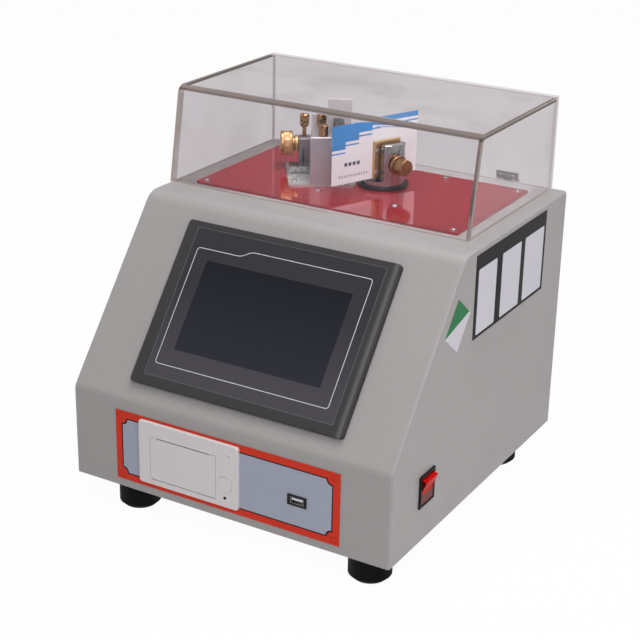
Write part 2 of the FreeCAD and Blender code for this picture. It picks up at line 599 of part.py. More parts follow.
def motor_bracket():
    """A hat-shaped strap under the deck, with the motor below its floor."""
    body = new_body("motor_bracket", (SPINDLE_X, SPINDLE_Y, DECK))
    under = "(-deck_wall - sheet_wall)"
    outer = "(bracket_half + bracket_flange)"
    hat = [(f"-{outer}", under), ("-bracket_half", under),
           ("-bracket_half", "-bracket_drop"), ("bracket_half", "-bracket_drop"),
           ("bracket_half", under), (outer, under), (outer, f"{under} - bracket_wall"),
           ("bracket_half + bracket_wall", f"{under} - bracket_wall"),
           ("bracket_half + bracket_wall", f"-{MOTOR_FACE}"),
           ("-bracket_half - bracket_wall", f"-{MOTOR_FACE}"),
           ("-bracket_half - bracket_wall", f"{under} - bracket_wall"),
           (f"-{outer}", f"{under} - bracket_wall")]
    extrude(body, "hat", "XZ", [hat], "-bracket_length / 2", "bracket_length")
    inner = [(f"{a}inner_across", f"{b}inner_along") for a in ("-", "") for b in ("-", "")]
    cut(body, "screw_holes", "XY", circles(inner, "deck_screw"),
        f"{under} - bracket_wall", "bracket_wall")
    motor = [(f"{a}motor_pitch / 2", f"{b}motor_pitch / 2") for a in ("-", "") for b in ("-", "")]
    cut(body, "motor_holes", "XY",
        circles(motor, "motor_screw") + [("0", "0", "motor_pilot")],
        f"-{MOTOR_FACE}", "bracket_wall")
    return body


def drive_motor():
    """A square stepping motor, with its four screws from above."""
    body = new_body("drive_motor", (SPINDLE_X, SPINDLE_Y, DECK))
    extrude(body, "case", "XY", [centred_box("0", "0", "motor_width", "motor_width")],
            f"-{MOTOR_FACE} - motor_length", "motor_length")
    soften(body, "corners", "motor_corner", lambda e: runs_along(e, "z"), chamfer=True)
    extrude(body, "pilot", "XY", [("0", "0", "motor_pilot")], f"-{MOTOR_FACE}", "bracket_wall")
    extrude(body, "shaft", "XY", [("0", "0", "shaft_diameter")], "-bracket_drop",
            "bracket_drop - shaft_top")
    screws = [(f"{a}motor_pitch / 2", f"{b}motor_pitch / 2") for a in ("-", "") for b in ("-", "")]
    extrude(body, "screws", "XY", circles(screws, "motor_screw"), f"-{MOTOR_FACE}",
            "bracket_wall")
    extrude(body, "heads", "XY", circles(screws, "motor_screw_head"), "-bracket_drop",
            "motor_screw_length / 2")
    return body


def bearing_flange():
    """The black ring on the deck with the tube that holds both bearings."""
    body = new_body("bearing_flange", (SPINDLE_X, SPINDLE_Y, DECK))
    seat = "bearing_diameter / 2"
    profile = [("tube_bore / 2", "bearing_width - tube_length"),
               (seat, "bearing_width - tube_length"), (seat, "-tube_length"),
               ("tube_diameter / 2", "-tube_length"), ("tube_diameter / 2", "0"),
               ("flange_diameter / 2", "0"), ("flange_diameter / 2", "flange_wall"),
               (seat, "flange_wall"), (seat, "bearing_top - bearing_width"),
               ("tube_bore / 2", "bearing_top - bearing_width")]
    revolve(body, "ring", "Z", profile)
    return body


def spindle_bearings():
    """Two ball bearings, each with the groove between its rings."""
    body = new_body("spindle_bearings", (SPINDLE_X, SPINDLE_Y, DECK))
    bore = "(spindle_diameter / 2 + run)"
    rim = "(bearing_diameter / 2)"
    middle_in = f"({bore} * 0.7 + {rim} * 0.3)"
    middle_out = f"({bore} * 0.3 + {rim} * 0.7)"
    for name, low in (("upper", "(bearing_top - bearing_width)"), ("lower", "(-tube_length)")):
        high = f"({low} + bearing_width)"
        revolve(body, name, "Z", [
            (bore, low), (middle_in, low), (middle_in, f"{low} + bearing_groove"),
            (middle_out, f"{low} + bearing_groove"), (middle_out, low), (rim, low),
            (rim, high), (middle_out, high), (middle_out, f"{high} - bearing_groove"),
            (middle_in, f"{high} - bearing_groove"), (middle_in, high), (bore, high)])
    return body


def clamp_spindle():
    body = clamp_body("clamp_spindle")
    revolve(body, "shaft", "Z", [
        ("0", "-spindle_drop"), ("spindle_diameter / 2", "-spindle_drop"),
        ("spindle_diameter / 2", "bearing_top + run"), ("spindle_collar / 2", "bearing_top + run"),
        ("spindle_collar / 2", DISC_LOW), ("hub_diameter / 2", DISC_LOW),
        ("hub_diameter / 2", f"{DISC_LOW} + pin_length"), ("0", f"{DISC_LOW} + pin_length")])
    return body


def clamp_column():
    """The polished disc and, in one piece with it, the D-shaped column."""
    body = clamp_body("clamp_column")
    extrude(body, "blank", "XY", [("0", "0", "disc_diameter")], DISC_LOW,
            f"column_top - {DISC_LOW}")
    wide = "disc_diameter"
    outline = [(f"-{wide}", f"-{wide}"), (wide, f"-{wide}"), (wide, "-column_half"),
               ("column_face", "-column_half"), ("column_face", "column_half"),
               (wide, "column_half"), (wide, wide), (f"-{wide}", wide)]
    cut(body, "sides", "XY", [outline], DISC_TOP, f"column_top - {DISC_TOP}")
    soften(body, "top_edges", "column_edge", lambda e: all_at(e, "z", "column_top"), chamfer=True)
    cut(body, "spindle_hole", "XY", [("0", "0", "hub_diameter")], DISC_LOW, "pin_length")
    cut(body, "screw_hole", "YZ", [("0", "grip_rise", "grip_shank + 2 * run")], "column_face - 1",
        "disc_diameter / 2")
    return body


def rear_jaw():
    body = clamp_body("rear_jaw")
    side = [("-rear_jaw_back", DISC_TOP), ("card_face", DISC_TOP), ("card_face", "rear_jaw_top"),
            ("-rear_jaw_back + rear_jaw_edge", "rear_jaw_top"),
            ("-rear_jaw_back", "rear_jaw_top - rear_jaw_edge")]
    extrude(body, "block", "XZ", [side], "-rear_jaw_half", "2 * rear_jaw_half")
    soften(body, "back_edges", "rear_jaw_edge / 2",
           lambda e: runs_along(e, "z") and at(e, x="-rear_jaw_back"), chamfer=True)
    return body


def test_specimen():
    body = clamp_body("test_specimen")
    extrude(body, "card", "XY", [box("card_face", "-card_out", "card_face + card_wall", "card_in")],
            "card_low", "card_high - card_low")
    return body


def shaft_coupling():
    """Joins the motor's shaft below to the spindle above."""
    body = clamp_body("shaft_coupling")
    low = "(-coupling_top - coupling_length)"
    revolve(body, "sleeve", "Z", [
        ("shaft_diameter / 2 + run", low), ("coupling_diameter / 2", low),
        ("coupling_diameter / 2", "-coupling_top"), ("spindle_diameter / 2", "-coupling_top"),
        ("spindle_diameter / 2", "-spindle_drop"), ("shaft_diameter / 2 + run", "-spindle_drop")])
    soften(body, "rims", "column_edge", lambda e: round_about(e, "coupling_diameter"),
           chamfer=True)
    return body


def pressing_plate():
    body = clamp_body("pressing_plate")
    extrude(body, "plate", "YZ", [box("-press_left", "press_low", "press_right", "press_high")],
            PRESS_BACK, "press_wall")
    soften(body, "edges", "press_edge",
           lambda e: all_at(e, "x", PRESS_FRONT), chamfer=True)
    holes = [("-press_screw_left", "press_screw_high"), ("-press_screw_left", "press_screw_low")]
    cut(body, "holes", "YZ", circles(holes, "press_screw"), PRESS_BACK, "press_wall")
    return body


def plate_screws():
    body = clamp_body("plate_screws")
    places = [("-press_screw_left", "press_screw_high"), ("-press_screw_left", "press_screw_low")]
    extrude(body, "heads", "YZ", circles(places, "press_head"), PRESS_FRONT, "press_head_height")
    soften(body, "domes", "press_head_height / 2",
           lambda e: all_at(e, "x", f"{PRESS_FRONT} + press_head_height"))
    extrude(body, "shanks", "YZ", circles(places, "press_screw"), PRESS_BACK, "press_wall")
    return body


def clamp_screw():
    """The brass clamping screw: shank, wide wheel and slimmer grip, turned in one piece."""
    body = new_body("clamp_screw", (SPINDLE_X, SPINDLE_Y, f"{DECK} + grip_rise"), (0, 0, 1),
                    "-clamp_heading")
    wheel_end = "(grip_start + grip_wheel_wall)"
    end = "(grip_start + grip_wheel_wall + grip_length)"
    profile = [(f"{PRESS_FRONT} + run", "0"), (f"{PRESS_FRONT} + run", "grip_shank / 2"),
               ("grip_start", "grip_shank / 2"), ("grip_start", "grip_wheel / 2 - grip_edge"),
               ("grip_start + grip_edge", "grip_wheel / 2"),
               (f"{wheel_end} - grip_edge", "grip_wheel / 2"),
               (wheel_end, "grip_wheel / 2 - grip_edge"), (wheel_end, "grip_diameter / 2"),
               (f"{end} - grip_edge", "grip_diameter / 2"),
               (end, "grip_diameter / 2 - grip_edge"), (end, "0")]
    revolve(body, "turning", "X", profile)
    return body


def load_base():
    body = load_body("load_base")
    extrude(body, "plate", "XY", [box("-load_left", "-load_front", "-load_right", "load_back")],
            "0", "load_wall")
    soften(body, "corners", "load_corner", lambda e: runs_along(e, "z"))
    cut(body, "holes", "XY", circles(load_base_holes(), "deck_screw"), "0", "load_wall")
    return body


def front_plate():
    body = load_body("front_plate")
    extrude(body, "plate", "XZ", [box("-front_left", "load_wall", "-front_right", "front_top")],
            "-load_front", "front_wall")
    soften(body, "edges", "front_edge", lambda e: all_at(e, "z", "front_top")
           and runs_along(e, "x"), chamfer=True)
    return body


def slide_rail():
    """The dovetail that the carriage slides on."""
    body = load_body("slide_rail")
    extrude(body, "rail", "YZ", [dovetail("0")], "-load_left + rail_end",
            "load_left - load_right - 2 * rail_end")
    return body


def dovetail(gap):
    """The rail's section, or the carriage's slot with a gap round it."""
    foot = f"(rail_foot_width / 2 + {gap})"
    top = f"(rail_top_width / 2 + {gap})"
    return [(f"rail_back - {foot}", "load_wall"), (f"rail_back + {foot}", "load_wall"),
            (f"rail_back + {top}", f"load_wall + rail_tall + {gap}"),
            (f"rail_back - {top}", f"load_wall + rail_tall + {gap}")]


def carriage_block():
    """The sliding block: an arm to the front, a dovetail slot below, a nut lug behind."""
    body = load_body("carriage_block")
    side = [("-carriage_front", "carriage_step"), ("carriage_step_back", "carriage_step"),
            ("carriage_step_back", SLIDE_LOW), ("carriage_back", SLIDE_LOW),
            ("carriage_back", "carriage_top"), ("-carriage_front", "carriage_top")]
    extrude(body, "block", "YZ", [side], "-carriage_left", "carriage_left - carriage_right")
    soften(body, "edges", "carriage_edge",
           lambda e: all_at(e, "z", "carriage_top"), chamfer=True)
    cut(body, "slot", "YZ", [dovetail("slide_gap")], "-carriage_left",
        "carriage_left - carriage_right")
    extrude(body, "lug", "YZ",
            [box("carriage_back", "screw_rise - lug_tall / 2", "carriage_back + lug_reach",
                 "screw_rise + lug_tall / 2")], "-lug_left", "lug_left - lug_right")
    soften(body, "lug_edges", "lug_tall / 4",
           lambda e: runs_along(e, "x") and at(e, y="carriage_back + lug_reach"))
    cut(body, "nut", "YZ", [("screw_back", "screw_rise", "screw_diameter + 2 * run")],
        "-lug_left", "lug_left - lug_right")
    cut(body, "rear_thumb_hole", "XY",
        [("-thumb_rear_side", "thumb_rear_back", "thumb_neck + 2 * run")],
        "carriage_top - thumb_thread - 1", "thumb_thread + 1")
    cut(body, "front_thumb_hole", "XY",
        [("-thumb_front_side", "thumb_front_back", "thumb_neck + 2 * run")],
        "carriage_top - thumb_thread - 1", "thumb_thread + 1")
    return body


def tall_plate():
    """The stepped upright at the back of the carriage."""
    body = load_body("tall_plate")
    outline = [("-tall_left", "carriage_top"), ("-tall_right", "carriage_top"),
               ("-tall_right", "tall_top"), ("-tall_step", "tall_top"),
               ("-tall_step", "tall_step_top"), ("-tall_left", "tall_step_top")]
    extrude(body, "plate", "XZ", [outline], "tall_back", "tall_wall")
    return body


def load_cell():
    """The bending bar, thinned by two holes and the slot that joins them."""
    body = load_body("load_cell")
    extrude(body, "bar", "XY",
            [box("-cell_left", "-cell_front", "-cell_left + cell_width", "tall_back")],
            "cell_low", "cell_tall")
    middle = "((tall_back - cell_front) / 2)"
    rise = "cell_low + cell_tall / 2"
    cut(body, "holes", "YZ",
        circles([(f"{middle} - cell_hole_pitch / 2", rise),
                 (f"{middle} + cell_hole_pitch / 2", rise)], "cell_hole"),
        "-cell_left", "cell_width")
    cut(body, "slot", "YZ", [centred_box(middle, rise, "cell_hole_pitch", "cell_slot")],
        "-cell_left", "cell_width")
    return body


def probe_place():
    """The knife edge's centre in the load unit's axes, just behind the card."""
    square = "(card_face - probe_pin / 2 - probe_gap)"
    turn = "(clamp_heading + load_heading)"
    return (f"({square} * cos{turn} - probe_reach * sin{turn})",
            f"(-{square} * sin{turn} - probe_reach * cos{turn})")


def probe():
    """The round knife edge that the card bends against, on its rod."""
    body = load_body("probe")
    across, back = probe_place()
    extrude(body, "rod", "XZ", [(across, "probe_rise", "probe_rod")], back,
            f"-cell_front - {back}")
    extrude(body, "edge", "XY", [(across, back, "probe_pin")], "probe_low",
            "probe_high - probe_low")
    return body


def screw_bracket():
    """The block that the adjusting screw turns in."""
    body = load_body("screw_bracket")
    extrude(body, "block", "YZ",
            [box("screw_back - bracket_depth / 2", "load_wall", "screw_back + bracket_depth / 2",
                 "bracket_top")], "-bracket_left", "bracket_left - bracket_right")
    soften(body, "edges", "bracket_edge",
           lambda e: runs_along(e, "x") and at(e, z="bracket_top"))
    cut(body, "screw_hole", "YZ", [("screw_back", "screw_rise", "screw_diameter + 2 * run")],
        "-bracket_left", "bracket_left - bracket_right")
    cut(body, "thumb_hole", "XY", [("-thumb_left_side", "screw_back", "thumb_neck + 2 * run")],
        "screw_rise", "bracket_top - screw_rise")
    return body


def adjusting_knob():
    """The big brass knob and its lead screw, which drives the carriage."""
    body = new_body("adjusting_knob", load_point("0", "screw_back", "screw_rise"), (0, 0, 1),
                    "load_heading")
    wheel_end = "(knob_wall - knob_left)"
    hub_end = "(-bracket_left - axial)"
    groove = "(knob_wall - knob_left + knob_groove_wall)"
    profile = [("-knob_left", "0"), ("-knob_left", "knob_diameter / 2 - knob_edge"),
               ("-knob_left + knob_edge", "knob_diameter / 2"),
               (f"{wheel_end} - knob_edge", "knob_diameter / 2"),
               (wheel_end, "knob_diameter / 2 - knob_edge"), (wheel_end, "knob_groove / 2"),
               (groove, "knob_groove / 2"), (groove, "knob_hub / 2"),
               (hub_end, "knob_hub / 2"), (hub_end, "screw_diameter / 2"),
               ("-screw_end", "screw_diameter / 2"), ("-screw_end", "0")]
    revolve(body, "turning", "X", profile)
    return body


def load_point(x, y, rise):
    """A point of the load unit in the cabinet's axes."""
    return (f"{SPINDLE_X} + {x} * cos(load_heading) - {y} * sin(load_heading)",
            f"{SPINDLE_Y} + {x} * sin(load_heading) + {y} * cos(load_heading)",
            f"{DECK} + {rise}")


def thumb_screw(name, side, back, rise, root):
    """A small brass thumb screw, its head standing at rise above the deck."""
    body = new_body(name, load_point(f"(-{side})", back, rise), (0, 0, 1), "load_heading")
    bottom = f"({root} - {rise})"
    revolve(body, "turning", "Z", [
        ("0", bottom), ("thumb_neck / 2", bottom), ("thumb_neck / 2", "0"),
        ("thumb_head / 2 - thumb_edge", "0"), ("thumb_head / 2", "thumb_edge"),
        ("thumb_head / 2", "thumb_head_tall - thumb_edge"),
        ("thumb_head / 2 - thumb_edge", "thumb_head_tall"), ("0", "thumb_head_tall")])
    return body


def thumb_screws():
    in_block = "(carriage_top - thumb_thread)"
    thumb_screw("thumb_screw_left", "thumb_left_side", "screw_back", "thumb_left_rise",
                "thumb_root")
    thumb_screw("thumb_screw_rear", "thumb_rear_side", "thumb_rear_back", "thumb_rear_rise",
                in_block)
    thumb_screw("thumb_screw_front", "thumb_front_side", "thumb_front_back",
                "thumb_front_rise", in_block)


def load_cable():
    """The thin cable from the base up and into the screw bracket."""
    body = load_body("load_cable")
    path = add_sketch(body, "path", "YZ", "-cable_side")
    low = value("load_wall")
    back = value("cable_back")
    bend = value("cable_bend")
    rise = value("load_wall + cable_rise")
    end = value("screw_back - bracket_depth / 2")
    up = path.addGeometry(Part.LineSegment(FreeCAD.Vector(back, low, 0),
                                           FreeCAD.Vector(back, rise, 0)))
    circle = Part.Circle(FreeCAD.Vector(back + bend, rise, 0), FreeCAD.Vector(0, 0, 1), bend)
    arc = path.addGeometry(Part.ArcOfCircle(circle, 1.5707963, 3.1415927))
    out = path.addGeometry(Part.LineSegment(FreeCAD.Vector(back + bend, rise + bend, 0),
                                            FreeCAD.Vector(end, rise + bend, 0)))
    path.addConstraint(Sketcher.Constraint("Vertical", up))
    path.addConstraint(Sketcher.Constraint("Horizontal", out))
    path.addConstraint(Sketcher.Constraint("Tangent", up, 2, arc, 2))
    path.addConstraint(Sketcher.Constraint("Tangent", arc, 1, out, 1))
    bind(path, ("DistanceX", -1, 1, up, 1), "cable_back")
    bind(path, ("DistanceY", -1, 1, up, 1), "load_wall")
    bind(path, ("DistanceY", up, 1, up, 2), "cable_rise")
    bind(path, ("Radius", arc), "cable_bend")
    bind(path, ("DistanceX", -1, 1, out, 2), "screw_back - bracket_depth / 2")
    section = add_sketch(body, "section", "XY", "load_wall")
    draw(section, [("-cable_side", "cable_back", "cable_diameter")])
    pipe = body.newObject("PartDesign::AdditivePipe", "load_cable_pipe")
    pipe.Profile = section
    pipe.Spine = (path, ["Edge1", "Edge2", "Edge3"])
    return body


def touch_bezel():
    body = slope_body("touch_bezel")
    extrude(body, "plate", "XY", [touch_corner("touch_width", "touch_length")], "0",
            "touch_proud")
    soften(body, "corners", "touch_corner", lambda e: runs_along(e, "z"))
    soften(body, "rim", "touch_corner / 3", lambda e: all_at(e, "z", "touch_proud"))
    cut(body, "film_recess", "XY", [touch_corner("film_width", "film_length", "film_rise")],
        "touch_proud - film_depth", "film_depth")
    cut(body, "window", "XY", [touch_corner("view_width", "view_length")], "0", "touch_proud")
    return body


def touch_screen():
    body = slope_body("touch_screen")
    extrude(body, "film", "XY", [touch_corner("film_width", "film_length", "film_rise")],
            "touch_proud - film_depth", "film_wall")
    return body


def touch_housing():
    """The panel's body behind the slope, with the clips that grip the sheet."""
    body = slope_body("touch_housing")
    extrude(body, "front", "XY", [touch_corner("housing_width", "housing_length")],
            "housing_step - housing_depth", "housing_depth - housing_step")
    extrude(body, "back", "XY",
            [touch_corner("housing_width - 2 * housing_inset",
                          "housing_length - 2 * housing_inset")],
            "-housing_depth", "housing_step")
    half = "(housing_width / 2)"
    clips = [centred_box(f"touch_side {side} ({half} + clip_reach / 2)",
                         f"touch_rise {end} clip_place", "clip_reach", "clip_width")
             for side in "-+" for end in "-+"]
    extrude(body, "clips", "XY", clips, "-sheet_wall - clip_depth", "clip_depth")
    return body


def label_plate():
    """The printed plate round the printer and the data socket."""
    body = new_body("label_plate")
    extrude(body, "plate", "XZ", [box("-plate_left", "foot_height + plate_low", "plate_right",
                                      "foot_height + plate_low + plate_tall")],
            PLATE_FRONT, "plate_wall")
    cut(body, "printer_hole", "XZ",
        [printer_box("printer_left", "printer_low", "printer_width", "printer_tall")],
        PLATE_FRONT, "plate_wall")
    cut(body, "usb_hole", "XZ",
        [centred_box("usb_left + usb_width / 2", "foot_height + usb_low + usb_tall / 2",
                     "usb_width", "usb_tall")], PLATE_FRONT, "plate_wall")
    return body


def printer_bezel():
    body = new_body("printer_bezel")
    extrude(body, "plate", "XZ",
            [printer_box("printer_left", "printer_low", "printer_width", "printer_tall")],
            DOOR_FACE, "printer_proud")
    soften(body, "corners", "printer_corner", lambda e: runs_along(e, "y"))
    soften(body, "rim", "printer_corner / 3", lambda e: all_at(e, "y", DOOR_FACE))
    cut(body, "door_opening", "XZ",
        [printer_box("door_left", "door_low", "door_width", "door_tall")],
        DOOR_FACE, "printer_proud")
    cut(body, "button_hole", "XZ", [button_circle("button_diameter + 2 * key_gap")],
        DOOR_FACE, "printer_proud")
    cut(body, "key_hole", "XZ", [key_box("key_gap")], DOOR_FACE, "printer_proud")
    cut(body, "lamp", "XZ",
        [("-printer_left + lamp_across", "foot_height + printer_low + lamp_rise",
          "lamp_diameter")], DOOR_FACE, "printer_proud / 2")
    stub = (DOOR_AXIS_Y, DOOR_AXIS_Z, "stub_diameter + 2 * run")
    cut(body, "stub_holes", "YZ", [stub], "-door_left - stub_length - door_gap",
        "door_width + 2 * stub_length + 2 * door_gap")
    return body


def printer_body():
    """The printer's body with the open well that holds the paper roll."""
    body = new_body("printer_body")
    outer = printer_box("(printer_left - printer_rim)", "(printer_low + printer_rim)",
                        "(printer_width - 2 * printer_rim)", "(printer_tall - 2 * printer_rim)")
    extrude(body, "block", "XZ", [outer], FRONT, "printer_depth")
    cut(body, "well", "XZ",
        [printer_box("door_left", "door_low", "door_width", "door_tall")], FRONT, "well_depth")
    soften(body, "back_edges", "printer_wall",
           lambda e: all_at(e, "y", f"{FRONT} + printer_depth"), chamfer=True)
    return body


def printer_door():
    """The door with its two hinge stubs and the ears that carry the platen roller."""
    body = new_body("printer_door")
    left = "(-door_left + door_gap)"
    right = "(-door_left + door_width - door_gap)"
    high = "(foot_height + door_low + door_tall - door_gap)"
    middle = "(-door_left + door_width / 2)"
    outline = [(left, DOOR_LOW), (right, DOOR_LOW), (right, high),
               (f"{middle} + slot_width / 2", high),
               (f"{middle} + slot_width / 2", f"{high} - slot_drop"),
               (f"{middle} - slot_width / 2", f"{high} - slot_drop"),
               (f"{middle} - slot_width / 2", high), (left, high)]
    extrude(body, "panel", "XZ", [outline], DOOR_FACE, "door_wall")
    soften(body, "lower_edges", "door_edge", lambda e: runs_along(e, "x")
           and at(e, z=DOOR_LOW))
    back = f"({DOOR_FACE} + door_wall)"
    top = f"({high} - ear_drop)"
    ear = box(back, f"{top} - ear_tall", f"{back} + ear_depth", top)
    span = "(roll_width / 2 + door_gap)"
    for name, start in (("left_ear", f"{middle} - {span} - ear_wall"),
                        ("right_ear", f"{middle} + {span}")):
        extrude(body, name, "YZ", [ear], start, "ear_wall")
    stub = (DOOR_AXIS_Y, DOOR_AXIS_Z, "stub_diameter")
    extrude(body, "left_stub", "YZ", [stub], f"{left} - stub_length", "stub_length")
    extrude(body, "right_stub", "YZ", [stub], right, "stub_length")
    cut(body, "platen_holes", "YZ",
        [(f"{back} + platen_back", f"{top} - ear_tall / 2", "platen_pin + 2 * run")],
        f"{middle} - {span} - ear_wall", f"2 * ({span} + ear_wall)")
    return body


def platen_roller():
    """The rubber feed roller, carried by the door's ears."""
    back = f"({DOOR_FACE} + door_wall)"
    top = "(foot_height + door_low + door_tall - door_gap - ear_drop)"
    body = new_body("platen_roller", ("-door_left + door_width / 2", f"{back} + platen_back",
                                      f"{top} - ear_tall / 2"))
    extrude(body, "roller", "YZ", [("0", "0", "platen_diameter")],
            "-roll_width / 2", "roll_width")
    extrude(body, "pins", "YZ", [("0", "0", "platen_pin")],
            "-roll_width / 2 - door_gap - ear_wall", "roll_width + 2 * door_gap + 2 * ear_wall")
    return body


def paper_roll():
    """The paper roll lying in the printer's well."""
    body = new_body("paper_roll", ("-door_left + door_width / 2",
                                   f"{FRONT} + well_depth - roll_diameter / 2 - fit",
                                   "foot_height + door_low + roll_diameter / 2 + fit"))
    extrude(body, "paper", "YZ", [("0", "0", "roll_diameter"), ("0", "0", "roll_core")],
            "-roll_width / 2", "roll_width")
    return body


def feed_key():
    body = new_body("feed_key")
    extrude(body, "key", "XZ", [key_box("0")], f"{DOOR_FACE} - button_proud / 2", "button_wall")
    return body


def release_button():
    body = new_body("release_button")
    extrude(body, "button", "XZ", [button_circle("button_diameter")],
            f"{DOOR_FACE} - button_proud", "button_wall")
    soften(body, "rim", "button_proud", lambda e: all_at(e, "y", f"{DOOR_FACE} - button_proud"))
    return body


def usb_centre(width, tall):
    """A rectangle on the data socket's centre."""
    return centred_box("usb_left + usb_width / 2", "foot_height + usb_low + usb_tall / 2",
                       width, tall)


def usb_frame():
    """The socket's black frame, with the insulating block and the tongue inside."""
    body = new_body("usb_frame")
    extrude(body, "bezel", "XZ", [usb_centre("usb_width", "usb_tall")],
            f"{FRONT} - usb_proud", "usb_proud")
    extrude(body, "block", "XZ", [usb_centre("usb_shell_width + 2", "usb_shell_tall + 2")],
            FRONT, "usb_depth")
    cut(body, "opening", "XZ", [usb_centre("usb_shell_width", "usb_shell_tall")],
        f"{FRONT} - usb_proud", "usb_proud + usb_depth - usb_back")
    inner_tall = "(usb_shell_tall / 2 - usb_shell_wall)"
    extrude(body, "tongue", "XZ",
            [centred_box("usb_left + usb_width / 2",
                         f"foot_height + usb_low + usb_tall / 2 + {inner_tall} / 3",
                         "usb_shell_width - 2 * usb_shell_wall - 2 * usb_tongue_inset",
                         "usb_tongue_tall")],
            f"{FRONT} - usb_proud + usb_tongue_inset",
            "usb_proud + usb_depth - usb_back - usb_tongue_inset")
    return body


def usb_shell():
    body = new_body("usb_shell")
    extrude(body, "sleeve", "XZ", [usb_centre("usb_shell_width", "usb_shell_tall"),
                                   usb_centre("usb_shell_width - 2 * usb_shell_wall",
                                              "usb_shell_tall - 2 * usb_shell_wall")],
            f"{FRONT} - usb_proud + usb_shell_wall",
            "usb_proud + usb_depth - usb_back - usb_shell_wall")
    return body


def switch_centre(width, tall):
    """A rectangle on the rocker switch's centre."""
    return centred_box(f"{FRONT} + switch_front + switch_width / 2",
                       "foot_height + switch_low + switch_tall / 2", width, tall)


def switch_frame():
    """The rocker switch's black frame and body."""
    body = new_body("switch_frame")
    extrude(body, "bezel", "YZ", [switch_centre("switch_width", "switch_tall")], SIDE,
            "switch_proud")
    soften(body, "bezel_edges", "switch_edge",
           lambda e: all_at(e, "x", f"{SIDE} + switch_proud"))
    extrude(body, "body", "YZ",
            [switch_centre("switch_width - 2 * switch_rim", "switch_tall - 2 * switch_rim")],
            f"{SIDE} - switch_depth", "switch_depth")
    cut(body, "well", "YZ",
        [switch_centre("rocker_width + 2 * rocker_gap", "2 * rocker_half + 4 * rocker_gap + 1")],
        f"{SIDE} + switch_proud - rocker_well", "rocker_well")
    cut(body, "pin_holes", "XZ",
        [(f"{SIDE} - rocker_seat", "foot_height + switch_low + switch_tall / 2",
          "rocker_pin + 2 * run")],
        f"{FRONT} + switch_front + switch_width / 2 - rocker_width / 2 - 3 * rocker_gap",
        "rocker_width + 6 * rocker_gap")
    return body


def rocker_button():
    """The red rocker on its cross pin, resting with its upper end out."""
    body = new_body("rocker_button", (f"{SIDE} - rocker_seat",
                                      f"{FRONT} + switch_front + switch_width / 2",
                                      "foot_height + switch_low + switch_tall / 2"),
                    (0, 1, 0), "rocker_tilt")
    end = "(rocker_nose + rocker_half * tan(rocker_tilt))"
    side = [("-rocker_back", "-rocker_half * 0.6"), ("-rocker_back", "rocker_half * 0.6"),
            ("0", "rocker_half"), (end, "rocker_half"), ("rocker_nose", "0"),
            (end, "-rocker_half"), ("0", "-rocker_half")]
    extrude(body, "rocker", "XZ", [side], "-rocker_width / 2", "rocker_width")
    extrude(body, "pin", "XZ", [("0", "0", "rocker_pin")], "-rocker_width / 2 - 2 * rocker_gap",
            "rocker_width + 4 * rocker_gap")
    return body


def side_labels():
    """The wide label and the turned one on the right side."""
    body = new_body("side_labels")
    turned = []
    for a, b in ((-1, -1), (1, -1), (1, 1), (-1, 1)):
        along = f"({a} * turned_width / 2)"
        across = f"({b} * turned_tall / 2)"
        turned.append((f"{FRONT} + turned_centre + {along} * cos(turned_angle)"
                       f" + {across} * sin(turned_angle)",
                       f"foot_height + turned_rise - {along} * sin(turned_angle)"
                       f" + {across} * cos(turned_angle)"))
    wide = box(f"{FRONT} + label_front", "foot_height + label_low",
               f"{FRONT} + label_front + label_width", "foot_height + label_low + label_tall")
    extrude(body, "labels", "YZ", [wide, turned], SIDE, "label_wall")
    return body


def mains_inlet():
    """A three-pin inlet with its flange on the rear panel."""
    body = new_body("mains_inlet")
    rise = "foot_height + inlet_rise"
    extrude(body, "flange", "XZ", [centred_box("inlet_side", rise, "inlet_flange_width",
                                               "inlet_tall - 2")], REAR, "inlet_wall")
    soften(body, "flange_ends", "inlet_tall / 4", lambda e: runs_along(e, "y"))
    extrude(body, "block", "XZ", [centred_box("inlet_side", rise, "inlet_width", "inlet_tall")],
            f"{REAR} - inlet_depth", "inlet_depth")
    recess = centred_box("inlet_side", rise, "inlet_width - 2 * inlet_rim",
                         "inlet_tall - 2 - 2 * inlet_rim")
    cut(body, "recess", "XZ", [recess], f"{REAR} + inlet_wall - inlet_recess", "inlet_recess")
    soften(body, "recess_bevels", "inlet_bevel",
           lambda e: runs_along(e, "y") and abs(e.Length - value("inlet_recess")) < 0.01
           and e.CenterOfMass.z > value(rise), chamfer=True)
    pins = [centred_box(f"inlet_side {place}", f"{rise} {up}", "inlet_pin_wide", "inlet_pin_tall")
            for place, up in (("- inlet_pin_pitch", "- inlet_pin_wide"), ("+ 0", "+ 1"),
                              ("+ inlet_pin_pitch", "- inlet_pin_wide"))]
    extrude(body, "pins", "XZ", pins, f"{REAR} + inlet_wall - inlet_recess", "inlet_pin_length")
    holes = [(f"inlet_side {sign} inlet_hole_pitch / 2", rise) for sign in "-+"]
    cut(body, "holes", "XZ", circles(holes, "case_screw"), REAR, "inlet_wall")
    return body


def power_supply():
    """A cased supply on the base plate, with its terminal step at the front."""
    body = new_body("power_supply", ("supply_left", f"{REAR} - supply_rear - supply_length",
                                     "foot_height + base_wall"))
    extrude(body, "case", "XY", [box("0", "0", "supply_width", "supply_length")], "0",
            "supply_tall")
    cut(body, "step", "XY", [box("supply_wall", "0", "supply_width - supply_wall", "supply_step")],
        "supply_step_tall", "supply_tall - supply_step_tall")
    return body


